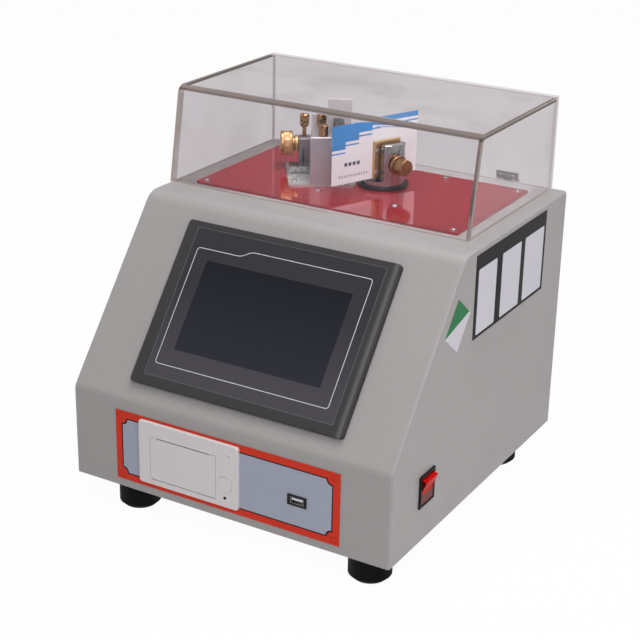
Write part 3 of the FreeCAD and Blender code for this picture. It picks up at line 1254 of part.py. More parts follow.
def control_board():
    """The circuit board on its four posts, with a few of its tall components."""
    body = new_body("control_board", ("-board_left", f"{REAR} - board_rear - board_length",
                                      "foot_height + base_wall"))
    posts = [(x, y) for x in ("post_inset", "board_width - post_inset")
             for y in ("post_inset", "board_length - post_inset")]
    extrude(body, "posts", "XY", circles(posts, "post_diameter"), "0", "board_lift")
    extrude(body, "board", "XY", [box("0", "0", "board_width", "board_length")], "board_lift",
            "board_wall")
    chips = [centred_box(f"board_width * {part}", "board_length / 2", "chip_size", "chip_size")
             for part in ("0.3", "0.65")]
    extrude(body, "chips", "XY", chips, "board_lift + board_wall", "chip_tall")
    sockets = [box(f"board_width * {part}", "0", f"board_width * {part} + chip_size",
                   "socket_depth") for part in ("0.15", "0.4", "0.65")]
    extrude(body, "sockets", "XY", sockets, "board_lift + board_wall", "socket_tall")
    return body


def cover_profile():
    """The bent sheet's side outline: the leaning front and the flat top."""
    return [(COVER_FRONT, COVER_LOW), (f"{COVER_FRONT} + cover_lean", COVER_TOP),
            (REAR, COVER_TOP), (REAR, f"{COVER_TOP} - cover_wall"),
            (f"{COVER_FRONT} + cover_lean + {LEAN} - cover_wall * cover_lean / cover_tall",
             f"{COVER_TOP} - cover_wall"),
            (f"{COVER_FRONT} + {LEAN}", COVER_LOW)]


def cover_sheet():
    body = new_body("cover_sheet")
    extrude(body, "sheet", "YZ", [cover_profile()], "-cover_left", "cover_left + cover_right")
    soften(body, "outer_bend", "cover_bend",
           lambda e: runs_along(e, "x") and at(e, y=f"{COVER_FRONT} + cover_lean", z=COVER_TOP))
    soften(body, "inner_bend", "cover_bend - cover_wall",
           lambda e: runs_along(e, "x") and at(
               e, y=f"{COVER_FRONT} + cover_lean + {LEAN} - cover_wall * cover_lean / cover_tall",
               z=f"{COVER_TOP} - cover_wall"))
    return body


def cover_side(name, left):
    """A side pane between the bent sheet and the rear pane."""
    body = new_body(name)
    inner_top = f"{COVER_FRONT} + cover_lean + {LEAN} - cover_wall * cover_lean / cover_tall"
    outline = [(f"{COVER_FRONT} + {LEAN}", COVER_LOW), (inner_top, f"{COVER_TOP} - cover_wall"),
               (f"{REAR} - cover_wall", f"{COVER_TOP} - cover_wall"),
               (f"{REAR} - cover_wall", COVER_LOW)]
    extrude(body, "pane", "YZ", [outline], left, "cover_wall")
    soften(body, "bend", "cover_bend - cover_wall",
           lambda e: runs_along(e, "x") and at(e, y=inner_top, z=f"{COVER_TOP} - cover_wall"))
    return body


def cover_rear():
    body = new_body("cover_rear")
    extrude(body, "pane", "XZ", [box("-cover_left", COVER_LOW, "cover_right",
                                     f"{COVER_TOP} - cover_wall")],
            f"{REAR} - cover_wall", "cover_wall")
    cut(body, "hinge_holes", "XZ",
        circles(hinge_screw_places(f"{TOP} + hinge_screw_rise"), "hinge_screw"),
        f"{REAR} - cover_wall", "cover_wall")
    return body


def hinge_leaf(name, up, knuckles):
    """The leaves of both hinges on one side of the pin, each with its knuckles."""
    body = new_body(name)
    axis_y = f"({REAR} + knuckle_diameter / 2)"
    clear = "(knuckle_diameter / 2 + knuckle_gap)"
    far = f"({TOP} {up} hinge_tall)"
    near = f"({TOP} {up} {clear})"
    plates = [box(left, near, f"{left} + hinge_width", far) for left in hinge_lefts()]
    extrude(body, "leaves", "XZ", plates, REAR, "hinge_leaf")
    third = "(hinge_width / 3)"
    for number, left in enumerate(hinge_lefts()):
        for knuckle in knuckles:
            start = f"{left} + {knuckle} * {third} + knuckle_gap / 2"
            tag = "%d_%d" % (number, knuckle)
            extrude(body, "web_" + tag, "YZ", [box(REAR, TOP, f"{REAR} + hinge_leaf", near)],
                    start, f"{third} - knuckle_gap")
            extrude(body, "knuckle_" + tag, "YZ", [(axis_y, TOP, "knuckle_diameter")], start,
                    f"{third} - knuckle_gap")
    for number, left in enumerate(hinge_lefts()):
        cut(body, "bore_%d" % number, "YZ", [(axis_y, TOP, "hinge_pin + 2 * run")], left,
            "hinge_width")
    screws = circles(hinge_screw_places(f"{TOP} {up} hinge_screw_rise"), "hinge_screw")
    cut(body, "screw_holes", "XZ", screws, REAR, "hinge_leaf")
    return body


def hinge_pins():
    body = new_body("hinge_pins")
    for number, left in enumerate(hinge_lefts()):
        extrude(body, "pin_%d" % number, "YZ",
                [(f"{REAR} + knuckle_diameter / 2", TOP, "hinge_pin")],
                f"{left} - knuckle_gap", "hinge_width + 2 * knuckle_gap")
    return body


def hinge_screws_cover():
    """Screws and nuts that hold the moving leaves on the rear pane."""
    body = new_body("hinge_screws_cover")
    places = hinge_screw_places(f"{TOP} + hinge_screw_rise")
    inner = f"({REAR} - cover_wall - hinge_nut_height)"
    extrude(body, "heads", "XZ", circles(places, "hinge_head"), f"{REAR} + hinge_leaf",
            "hinge_head_height")
    extrude(body, "shanks", "XZ", circles(places, "hinge_screw"), inner,
            "hinge_leaf + cover_wall + hinge_nut_height")
    extrude(body, "nuts", "XZ", circles(places, "hinge_nut"), inner, "hinge_nut_height")
    return body


def build_all():
    cabinet_shell()
    base_plate()
    rear_panel()
    rubber_feet()
    case_screws()
    deck_plate()
    deck_screws()
    motor_bracket()
    drive_motor()
    bearing_flange()
    spindle_bearings()
    clamp_spindle()
    clamp_column()
    rear_jaw()
    test_specimen()
    shaft_coupling()
    pressing_plate()
    plate_screws()
    clamp_screw()
    load_base()
    front_plate()
    slide_rail()
    carriage_block()
    tall_plate()
    load_cell()
    probe()
    screw_bracket()
    adjusting_knob()
    thumb_screws()
    load_cable()
    touch_bezel()
    touch_screen()
    touch_housing()
    label_plate()
    printer_bezel()
    printer_body()
    printer_door()
    platen_roller()
    paper_roll()
    feed_key()
    release_button()
    usb_frame()
    usb_shell()
    switch_frame()
    rocker_button()
    side_labels()
    mains_inlet()
    power_supply()
    control_board()
    cover_sheet()
    cover_side("cover_left", "-cover_left")
    cover_side("cover_right", "cover_right - cover_wall")
    cover_rear()
    hinge_leaf("hinge_leaves_fixed", "-", (0, 2))
    hinge_leaf("hinge_leaves_cover", "+", (1,))
    hinge_pins()
    hinge_screws_cover()


def check_all():
    """Stops with a message if a feature failed, cut nothing, or left a bad solid."""
    for item in doc.Objects:
        if "Invalid" in item.State or "Error" in item.State:
            raise RuntimeError("%s did not build: %s" % (item.Name, item.State))
    for item in doc.Objects:
        if item.TypeId == "PartDesign::Pocket":
            if item.BaseFeature.Shape.Volume - item.Shape.Volume < 0.01:
                raise RuntimeError("%s cuts nothing" % item.Name)
    for body in made:
        if body.Shape.isNull() or not body.Shape.isValid():
            raise RuntimeError("%s is not a valid solid" % body.Label)


build_all()
doc.recompute()
check_all()
os.makedirs("parts", exist_ok=True)
for body in made:
    body.Shape.exportStep("parts/%s.step" % body.Label)
print("%d parts written" % len(made))
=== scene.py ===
import math

import bpy
from bpy.props import FloatProperty, FloatVectorProperty, IntProperty, PointerProperty
from bpy.types import Operator, Panel, PropertyGroup
from mathutils import Matrix, Vector


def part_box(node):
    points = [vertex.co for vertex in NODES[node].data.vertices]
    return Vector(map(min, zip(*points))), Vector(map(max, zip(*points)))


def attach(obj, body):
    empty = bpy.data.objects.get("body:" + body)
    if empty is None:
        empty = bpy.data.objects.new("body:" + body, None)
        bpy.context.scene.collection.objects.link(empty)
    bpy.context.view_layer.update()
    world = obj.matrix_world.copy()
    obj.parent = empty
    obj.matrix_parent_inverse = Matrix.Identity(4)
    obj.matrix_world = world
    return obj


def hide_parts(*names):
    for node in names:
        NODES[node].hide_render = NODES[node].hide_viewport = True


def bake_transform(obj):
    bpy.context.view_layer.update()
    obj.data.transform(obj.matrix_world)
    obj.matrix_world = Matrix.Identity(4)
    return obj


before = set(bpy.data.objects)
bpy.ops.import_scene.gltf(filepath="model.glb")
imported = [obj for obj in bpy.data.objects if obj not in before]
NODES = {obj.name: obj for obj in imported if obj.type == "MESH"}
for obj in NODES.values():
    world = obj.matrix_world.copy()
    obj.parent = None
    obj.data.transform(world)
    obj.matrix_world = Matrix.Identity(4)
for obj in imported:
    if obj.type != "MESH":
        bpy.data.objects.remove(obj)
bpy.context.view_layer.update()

bl_info = {
    "name": "Paper Stiffness Tester",
    "version": (1, 0, 0),
    "blender": (4, 5, 0),
    "location": "View3D > Sidebar > Tester",
    "description": "Finishes and detailed pieces for the paper stiffness tester",
    "category": "Object",
}


def shade(red, green, blue):
    """A display colour, 0 to 255, as the linear colour that Blender keeps."""
    linear = [((part / 255 + 0.055) / 1.055) ** 2.4 if part > 10 else part / 255 / 12.92
              for part in (red, green, blue)]
    return (*linear, 1.0)


def middle(node):
    """The middle of a CAD node's box."""
    low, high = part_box(node)
    return (low + high) / 2


# the sloped face: its tilt, its outward direction and the touch panel's centre on it
SLOPE = math.radians(51.8)
OUTWARD = Vector((0, -math.sin(SLOPE), math.cos(SLOPE)))
PANEL_CENTRE = middle("touch_bezel") - OUTWARD * 0.0025
ON_SLOPE = Matrix.Translation(PANEL_CENTRE) @ Matrix.Rotation(SLOPE, 4, "X")

# the axes of the clamp and of the load unit, on the spindle at deck level
SPINDLE = Vector((0.0121, 0.088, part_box("deck_plate")[1].z))
ON_CLAMP = Matrix.Translation(SPINDLE) @ Matrix.Rotation(math.radians(-24), 4, "Z")
ON_LOAD = Matrix.Translation(SPINDLE) @ Matrix.Rotation(math.radians(34), 4, "Z")

# the display's left, low, right and high edge on the film, and the corners of the line
# round it, in millimetres from the touch panel's centre
DISPLAY_EDGES = (-79.0, -43.5, 76.8, 45.5)
LINE_CORNERS = ((-93.6, 56.6), (-46.0, 56.6), (-36.0, 62.8), (91.3, 62.8), (91.3, -59.9),
                (-93.6, -59.9))

# the wide label's windows, front to back and bottom to top, in millimetres in the frame
WINDOW_SPANS = ((-24.0, 15.0), (27.0, 69.0), (78.0, 122.5))
WINDOW_LOW, WINDOW_HIGH = 193.5, 256.5

# sides of the finely toothed turned pieces
FINE_SIDES = 96

# the card's face on the clamp's X axis, and the card's thickness
CARD_FACE = 0.0062
CARD_WALL = 0.0005


def tint(name, description, colour):
    """A colour property."""
    return FloatVectorProperty(name=name, description=description, subtype="COLOR", size=4,
                               min=0.0, max=1.0, default=colour)


def length(name, description, metres):
    """A length property."""
    return FloatProperty(name=name, description=description, unit="LENGTH", min=0.0,
                         precision=5, default=metres)


class CabinetSettings(PropertyGroup):
    paint: tint("Paint", "Textured powder coat of the cabinet", shade(169, 165, 165))
    paint_grain: length("Paint grain", "Size of the bumps in the powder coat", 0.0013)
    plating: tint("Plating", "Zinc plated sheet and screws", shade(190, 192, 195))
    rubber: tint("Rubber", "Feet and printer roller", shade(15, 14, 14))


class FrontSettings(PropertyGroup):
    bezel: tint("Bezel", "Moulding of the touch panel", shade(56, 54, 54))
    film: tint("Film", "Printed film round the display", shade(54, 52, 58))
    display: tint("Display", "Switched-off display under the film", shade(19, 22, 32))
    line: tint("Line", "Thin line printed on the film", shade(226, 228, 230))
    line_width: length("Line width", "Width of the thin line on the film", 0.0006)
    border: tint("Border", "Border of the printed plate", shade(224, 58, 36))
    field: tint("Field", "Field of the printed plate", shade(175, 180, 197))
    plastic: tint("Plastic", "Moulding of the printer", shade(229, 224, 225))


class MechanismSettings(PropertyGroup):
    deck: tint("Deck", "Glossy enamel of the deck plate", shade(145, 34, 45))
    brass: tint("Brass", "Knobs and screws", shade(204, 164, 120))
    bronze: tint("Bronze", "Clamping screw", shade(172, 130, 88))
    knurl_teeth: IntProperty(name="Knurl teeth", default=30, min=12, max=96,
                             description="Points round a knurled thumb screw")
    knurl_depth: length("Knurl depth", "Depth of the knurling", 0.00035)


class CardSettings(PropertyGroup):
    board: tint("Board", "White card of the specimen", shade(244, 248, 252))
    ink: tint("Ink", "Blue print on the specimen", shade(66, 150, 220))
    marks: tint("Marks", "Dark print on the specimen", shade(84, 88, 104))
    bow: length("Bow", "How far the free end bows out", 0.0008)


class SideSettings(PropertyGroup):
    backing: tint("Backing", "Backing of the wide label", shade(19, 16, 17))
    window: tint("Window", "Pale windows of the wide label", shade(224, 222, 231))
    green: tint("Green", "Upper part of the turned label", shade(48, 128, 80))
    rocker: tint("Rocker", "Red rocker of the switch", shade(206, 12, 10))


class CoverSettings(PropertyGroup):
    sheet: tint("Sheet", "Clear acrylic seen through its faces", shade(224, 221, 223))
    # the edge colour is the painted glow, in emission, on the acrylic's cut edges
    edge: tint("Edge", "Cut edges of the acrylic", shade(136, 125, 121))


class StageSettings(PropertyGroup):
    key: FloatProperty(name="Key", description="Power of the front lamp", unit="POWER",
                       min=0.0, default=6.6)
    top: FloatProperty(name="Top", description="Power of the lamp overhead", unit="POWER",
                       min=0.0, default=28.0)
    side: FloatProperty(name="Side", description="Power of the lamp on the right",
                        unit="POWER", min=0.0, default=3.0)
    surround: FloatProperty(name="Surround", description="Light from all round", min=0.0,
                            default=0.2)


def fresh():
    """Leaves nothing selected, because an operator acts on all that is."""
    bpy.ops.object.select_all(action="DESELECT")


def open_all(piece):
    """Opens a piece for editing with all of it selected."""
    bpy.context.view_layer.objects.active = piece
    bpy.ops.object.mode_set(mode="EDIT")
    bpy.ops.mesh.select_all(action="SELECT")


def close_mesh():
    bpy.ops.object.mode_set(mode="OBJECT")


def pull_in(piece, chosen, radius, depth):
    """Pulls the numbered points of a rim in towards the axis Z."""
    mesh = piece.data
    bpy.context.tool_settings.mesh_select_mode = (True, False, False)
    for group in (mesh.vertices, mesh.edges, mesh.polygons):
        group.foreach_set("select", [False] * len(group))
    for index in chosen:
        mesh.vertices[index].select = True
    bpy.context.view_layer.objects.active = piece
    bpy.ops.object.mode_set(mode="EDIT")
    factor = 1 - depth / radius
    bpy.ops.transform.resize(value=(factor, factor, 1), center_override=(0, 0, 0))
    close_mesh()


def modify(piece, kind, **settings):
    """Adds a modifier to a piece and applies it."""
    modifier = piece.modifiers.new(kind.title(), kind)
    for name, setting in settings.items():
        setattr(modifier, name, setting)
    bpy.context.view_layer.objects.active = piece
    bpy.ops.object.modifier_apply(modifier=modifier.name)


def place(piece, matrix):
    """Puts a piece in its place in its mesh, so that its object stays at the origin."""
    piece.data.transform(matrix @ piece.matrix_basis)
    piece.matrix_basis = Matrix.Identity(4)


def smooth(piece, degrees=32):
    fresh()
    piece.select_set(True)
    bpy.context.view_layer.objects.active = piece
    bpy.ops.object.shade_smooth_by_angle(angle=math.radians(degrees))


def put(piece, body, material, *replaced, slot=None):
    """Gives a finished piece its material and the body that it rides on."""
    piece.data.materials.clear()
    piece.data.materials.append(material)
    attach(piece, body)
    if replaced:
        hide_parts(*replaced)


def finish_nodes(material, *names):
    """Gives CAD nodes a material."""
    for name in names:
        mesh = NODES[name].data
        mesh.materials.clear()
        mesh.materials.append(material)


def turned(name, profile, sides):
    """A turned piece about Z: a disc at the first radius and height, extruded up the rest."""
    fresh()
    radius, height = profile[0]
    bpy.ops.mesh.primitive_circle_add(vertices=sides, radius=radius, fill_type="NGON")
    piece = bpy.context.object
    piece.name = name
    open_all(piece)
    bpy.ops.transform.translate(value=(0, 0, height))
    for next_radius, next_height in profile[1:]:
        bpy.ops.mesh.extrude_region_move(
            TRANSFORM_OT_translate={"value": (0, 0, next_height - height)})
        if abs(next_radius - radius) > 1e-7:
            factor = next_radius / radius
            bpy.ops.transform.resize(value=(factor, factor, 1), center_override=(0, 0, 0))
        radius, height = next_radius, next_height
    bpy.ops.mesh.select_all(action="SELECT")
    bpy.ops.mesh.normals_make_consistent(inside=False)
    close_mesh()
    return piece


def cross_knurl(piece, radius, rings, depth):
    """Pulls every second point of the rings in, which leaves the points of a diamond knurl."""
    chosen = []
    for vertex in piece.data.vertices:
        reach = math.hypot(vertex.co.x, vertex.co.y)
        if abs(reach - radius) > 1e-6 or not rings[0] - 1e-6 < vertex.co.z < rings[-1] + 1e-6:
            continue
        ring = min(range(len(rings)), key=lambda number: abs(rings[number] - vertex.co.z))
        if (vertex.index + ring) % 2:
            chosen.append(vertex.index)
    pull_in(piece, chosen, radius, depth)


def straight_knurl(piece, radius, depth):
    """Pulls every second line of points on the rim in, which leaves fine teeth."""
    chosen = [vertex.index for vertex in piece.data.vertices
              if abs(math.hypot(vertex.co.x, vertex.co.y) - radius) < 1e-6
              and round(math.atan2(vertex.co.y, vertex.co.x) / math.tau * FINE_SIDES) % 2]
    pull_in(piece, chosen, radius, depth)


def cross_screw(name, head, tall, shank, depth):
    """A screw about Z with a domed head from 0 up and a cross recess."""
    half = head / 2
    screw = turned(name, [(shank / 2, -depth), (shank / 2, 0), (half, 0), (half, tall * 0.35),
                          (half * 0.93, tall * 0.66), (half * 0.74, tall * 0.9),
                          (half * 0.42, tall)], 24)
    fresh()
    bpy.ops.mesh.primitive_cube_add(size=1)
    cutter = bpy.context.object
    open_all(cutter)
    bpy.ops.transform.resize(value=(head * 0.58, head * 0.13, tall), center_override=(0, 0, 0))
    bpy.ops.transform.translate(value=(0, 0, tall * 1.02))
    bpy.ops.mesh.duplicate()
    bpy.ops.transform.rotate(value=math.pi / 2, orient_axis="Z", center_override=(0, 0, 0))
    close_mesh()
    modify(screw, "BOOLEAN", object=cutter, operation="DIFFERENCE", solver="EXACT",
           use_self=True)
    bpy.data.objects.remove(cutter)
    return screw


def islands(node):
    """The boxes of a CAD node's separate solids, lowest and highest corner of each."""
    fresh()
    copied = NODES[node].copy()
    copied.data = NODES[node].data.copy()
    copied.parent = None
    bpy.context.scene.collection.objects.link(copied)
    copied.select_set(True)
    open_all(copied)
    bpy.ops.mesh.remove_doubles(threshold=1e-6)
    bpy.ops.mesh.separate(type="LOOSE")
    close_mesh()
    boxes = []
    for part in list(bpy.context.selected_objects):
        places = [vertex.co for vertex in part.data.vertices]
        boxes.append((Vector([min(co[axis] for co in places) for axis in range(3)]),
                      Vector([max(co[axis] for co in places) for axis in range(3)])))
        bpy.data.objects.remove(part)
    return boxes


def copies(first, name, matrices):
    """Copies of a piece at several places, joined into one piece that keeps the first's form."""
    fresh()
    for number, matrix in enumerate(matrices):
        each = first.copy()
        each.data = first.data.copy()
        bpy.context.scene.collection.objects.link(each)
        place(each, matrix)
        each.select_set(True)
        bpy.context.view_layer.objects.active = each
    if len(matrices) > 1:
        bpy.ops.object.join()
    joined = bpy.context.object
    joined.name = name
    return joined


def screw_set(name, size, seats, body, node, slot):
    """Cross-recessed screws of one size at several places, as one piece."""
    first = cross_screw(name + "_first", *size)
    screws = copies(first, name, seats)
    bpy.data.objects.remove(first)
    smooth(screws)
    put(screws, body, zinc(), node, slot=slot)


class Recipe:
    """A node tree in the making."""

    def __init__(self, tree):
        self.tree = tree

    def add(self, kind, sockets=None, **settings):
        """A node with its settings and its inputs, each a number or another node's output."""
        node = self.tree.nodes.new(kind)
        for name, setting in settings.items():
            setattr(node, name, setting)
        for name, given in (sockets or {}).items():
            self.feed(node, name, given)
        return node

    def feed(self, node, name, given):
        if isinstance(given, bpy.types.NodeSocket):
            self.tree.links.new(given, node.inputs[name])
        else:
            node.inputs[name].default_value = given

    def math(self, operation, first, second=0.0):
        return self.add("ShaderNodeMath", {0: first, 1: second}, operation=operation).outputs[0]

    def plus(self, first, second):
        return self.math("ADD", first, second)

    def times(self, first, second):
        return self.math("MULTIPLY", first, second)

    def minus(self, first, second):
        return self.math("SUBTRACT", first, second)

    def most(self, first, second):
        return self.math("MAXIMUM", first, second)

    def size(self, value):
        """A value without its sign."""
        return self.math("ABSOLUTE", value)

    def reach(self, first, second):
        """The distance that two offsets at right angles make."""
        return self.math("SQRT", self.plus(self.times(first, first),
                                           self.times(second, second)))

    def seen(self):
        """1 for the camera's rays, also when gloss or a clear piece sends them on."""
        rays = self.add("ShaderNodeLightPath").outputs
        return self.most(rays["Is Camera Ray"],
                         self.most(rays["Is Glossy Ray"], rays["Is Transmission Ray"]))

    def mix(self, share, first, second, blend="MIX"):
        return self.add("ShaderNodeMix", {0: share, 6: first, 7: second},
                        data_type="RGBA", blend_type=blend).outputs[2]

    def between(self, value, low, high, start=0.0, end=1.0):
        """A value's place between two limits, as a number from start to end."""
        return self.add("ShaderNodeMapRange", {0: value, 1: low, 2: high, 3: start, 4: end},
                        clamp=True).outputs[0]

    def noise(self, vector, scale, detail=2.0):
        return self.add("ShaderNodeTexNoise", {"Vector": vector, "Scale": scale,
                                               "Detail": detail}).outputs[0]

    def group(self, tree, sockets):
        node = self.add("ShaderNodeGroup", node_tree=tree)
        for name, given in sockets.items():
            self.feed(node, name, given)
        return node


class Finish(Recipe):
    """A material in the making, with the shader that its nodes feed."""

    def __init__(self, name, **sockets):
        self.material = bpy.data.materials.new(name)
        self.material.use_nodes = True
        super().__init__(self.material.node_tree)
        self.shader = self.tree.nodes["Principled BSDF"]
        for socket, given in sockets.items():
            self.set(socket.replace("_", " ").title().replace("Ior", "IOR"), given)
        self.place = self.add("ShaderNodeTexCoord").outputs["Object"]

    def set(self, name, given):
        self.feed(self.shader, name, given)

    def facing(self):
        """The face's direction in the piece's own axes, as X, Y and Z."""
        normal = self.add("ShaderNodeNewGeometry").outputs["True Normal"]
        own = self.add("ShaderNodeVectorTransform", {0: normal}, vector_type="NORMAL",
                       convert_from="WORLD", convert_to="OBJECT").outputs[0]
        return self.add("ShaderNodeSeparateXYZ", {0: own}).outputs

    def bump(self, height, strength, distance=0.0005):
        node = self.add("ShaderNodeBump", {"Strength": strength, "Distance": distance,
                                           "Height": height})
        self.set("Normal", node.outputs[0])

    def local(self, matrix):
        """The place on the piece in axes of its own, in millimetres, as X, Y and Z."""
        shift, turn, _ = matrix.decompose()
        node = self.add("ShaderNodeMapping", {"Vector": self.place, "Location": shift,
                                              "Rotation": turn.to_euler(),
                                              "Scale": (0.001, 0.001, 0.001)},
                        vector_type="TEXTURE")
        return self.add("ShaderNodeSeparateXYZ", {0: node.outputs[0]}).outputs


def new_group(name, inputs, outputs):
    """An empty node group with its sockets, and its input and output nodes."""
    tree = bpy.data.node_groups.new(name, "ShaderNodeTree")
    for socket, kind, default in inputs:
        made = tree.interface.new_socket(socket, in_out="INPUT", socket_type=kind)
        if default is not None:
            made.default_value = default
    for socket in outputs:
        tree.interface.new_socket(socket, in_out="OUTPUT", socket_type="NodeSocketFloat")
    recipe = Recipe(tree)
    entry = recipe.add("NodeGroupInput").outputs
    leave = recipe.add("NodeGroupOutput")
    return tree, recipe, entry, leave


FLOAT = "NodeSocketFloat"
VECTOR = "NodeSocketVector"


def grain_group():
    """Fine speckle over slow cloudiness: a shade factor about 1 and a height."""
    if "Grain" in bpy.data.node_groups:
        return bpy.data.node_groups["Grain"]
    tree, recipe, entry, leave = new_group(
        "Grain", [("Place", VECTOR, None), ("Size", FLOAT, 0.001), ("Contrast", FLOAT, 0.05)],
        ("Shade", "Height"))
    scale = recipe.math("DIVIDE", 1.0, entry["Size"])
    fine = recipe.noise(entry["Place"], scale, 3.0)
    cloud = recipe.noise(entry["Place"], 9.0, 2.0)
    both = recipe.plus(recipe.times(fine, 0.7), recipe.times(cloud, 0.3))
    offset = recipe.times(recipe.minus(both, 0.5), entry["Contrast"])
    recipe.feed(leave, "Shade", recipe.plus(1.0, offset))
    recipe.feed(leave, "Height", fine)
    return tree


def smudge_group():
    """Soft patches of handling, from 0 to 1."""
    if "Smudges" in bpy.data.node_groups:
        return bpy.data.node_groups["Smudges"]
    tree, recipe, entry, leave = new_group(
        "Smudges", [("Place", VECTOR, None), ("Scale", FLOAT, 20.0), ("Amount", FLOAT, 0.5)],
        ("Mask",))
    patch = recipe.noise(entry["Place"], entry["Scale"], 4.0)
    ridge = recipe.between(patch, 0.48, 0.68)
    recipe.feed(leave, "Mask", recipe.times(ridge, entry["Amount"]))
    return tree


def patch_group():
    """A rounded rectangle: 1 inside and 0 outside, with a soft edge."""
    if "Patch" in bpy.data.node_groups:
        return bpy.data.node_groups["Patch"]
    tree, recipe, entry, leave = new_group(
        "Patch", [("X", FLOAT, 0.0), ("Y", FLOAT, 0.0), ("Left", FLOAT, -1.0),
                  ("Low", FLOAT, -1.0), ("Right", FLOAT, 1.0), ("High", FLOAT, 1.0),
                  ("Corner", FLOAT, 0.0), ("Soft", FLOAT, 0.1)], ("Mask",))
    reach = []
    for axis, low, high in (("X", "Left", "Right"), ("Y", "Low", "High")):
        centre = recipe.times(recipe.plus(entry[low], entry[high]), 0.5)
        half = recipe.times(recipe.minus(entry[high], entry[low]), 0.5)
        away = recipe.size(recipe.minus(entry[axis], centre))
        reach.append(recipe.plus(recipe.minus(away, half), entry["Corner"]))
    out_x, out_y = (recipe.most(part, 0.0) for part in reach)
    inside = recipe.math("MINIMUM", recipe.most(*reach), 0.0)
    distance = recipe.minus(recipe.plus(recipe.reach(out_x, out_y), inside),
                            entry["Corner"])
    soft = recipe.math("DIVIDE", distance, entry["Soft"])
    recipe.feed(leave, "Mask", recipe.between(soft, -1.0, 1.0, 1.0, 0.0))
    return tree


def patch(recipe, x, y, box, corner=0.0, soft=0.15):
    """A rounded rectangle's mask from its left, low, right and high."""
    left, low, right, high = box
    return recipe.group(patch_group(), {"X": x, "Y": y, "Left": left, "Low": low,
                                        "Right": right, "High": high, "Corner": corner,
                                        "Soft": soft}).outputs[0]


def grained(finish, colour, size, contrast):
    """The colour with a fine speckle, and the speckle's height."""
    node = finish.group(grain_group(), {"Place": finish.place, "Size": size,
                                        "Contrast": contrast})
    scaled = finish.add("ShaderNodeVectorMath", {0: colour[:3], "Scale": node.outputs["Shade"]},
                        operation="SCALE")
    return scaled.outputs[0], node.outputs["Height"]


def dull(finish, low, high, scale=24.0):
    """Sets a roughness that soft smudges raise from low towards high."""
    mask = finish.group(smudge_group(), {"Place": finish.place, "Scale": scale,
                                         "Amount": 1.0}).outputs[0]
    finish.set("Roughness", finish.between(mask, 0.0, 1.0, low, high))


def plain(name, colour, roughness, grain=0.0006, contrast=0.12, bump=0.1, **sockets):
    """A moulded, cast or coated finish: speckled colour, smudged gloss and a fine bump."""
    finish = Finish(name, **sockets)
    tinted, height = grained(finish, colour, grain, contrast)
    finish.set("Base Color", tinted)
    dull(finish, roughness, roughness + 0.12)
    finish.bump(height, bump, grain)
    return finish.material


def darker(colour, share):
    """A colour with only a share of its light."""
    return tuple(part * share for part in colour[:3]) + (1.0,)


def drawn_metal(name, colour, roughness, along, bump=0.12, contrast=0.8, metallic=1.0):
    """A metal with fine marks along one axis of the frame."""
    finish = Finish(name, metallic=metallic)
    stretch = [1400.0, 1400.0, 1400.0]
    stretch["XYZ".index(along)] = 25.0
    node = finish.add("ShaderNodeMapping", {"Vector": finish.place, "Scale": stretch})
    marks = finish.noise(node.outputs[0], 1.0, 2.0)
    finish.set("Base Color", finish.mix(marks, darker(colour, contrast), colour))
    finish.set("Roughness", finish.between(marks, 0.3, 0.7, roughness, roughness + 0.1))
    finish.bump(marks, bump, 0.0001)
    return finish.material


def ringed_metal(name, colour, roughness, matrix, pitch=0.35):
    """A turned metal with fine rings about the X axis of its own axes."""
    finish = Finish(name, metallic=1.0)
    x, y, z = finish.local(matrix)
    radius = finish.reach(y, z)
    rings = finish.math("SINE", finish.times(radius, math.tau / pitch))
    lines = finish.math("SINE", finish.times(x, math.tau / pitch))
    both = finish.plus(rings, lines)
    cloud = finish.noise(finish.place, 260.0, 3.0)
    finish.set("Base Color", finish.mix(finish.between(cloud, 0.35, 0.7), colour,
                                        darker(colour, 0.62)))
    finish.set("Roughness", finish.between(cloud, 0.3, 0.7, roughness, roughness + 0.14))
    finish.bump(both, 0.06, 0.00005)
    return finish.material


def zinc():
    """One plated finish for all sheet parts and screws."""
    if "Zinc plate" not in bpy.data.materials:
        colour = bpy.context.scene.tester_cabinet.plating
        finish = Finish("Zinc plate", metallic=1.0)
        spangle = finish.noise(finish.place, 420.0, 3.0)
        finish.set("Base Color", finish.mix(spangle, darker(colour, 0.72), colour))
        dull(finish, 0.26, 0.42)
        finish.bump(spangle, 0.05, 0.0001)
    return bpy.data.materials["Zinc plate"]


def brass(name="Brass", dark=0.6, scale=420.0, reach=(0.4, 0.75)):
    """Brass that tarnish darkens in patches; a dark, fine mottle also stands in for painted shade.
    """
    if name not in bpy.data.materials:
        colour = bpy.context.scene.tester_mechanism.brass
        red, green, blue, _ = colour
        finish = Finish(name, metallic=1.0)
        cloud = finish.noise(finish.place, scale, 3.0)
        tarnish_and_shade = (red * dark, green * (dark * 0.88), blue * (dark * 0.75), 1.0)
        finish.set("Base Color", finish.mix(finish.between(cloud, *reach), colour, tarnish_and_shade))
        finish.set("Roughness", finish.between(cloud, 0.3, 0.7, 0.28, 0.38))
        finish.bump(cloud, 0.02, 0.0001)
    return bpy.data.materials[name]


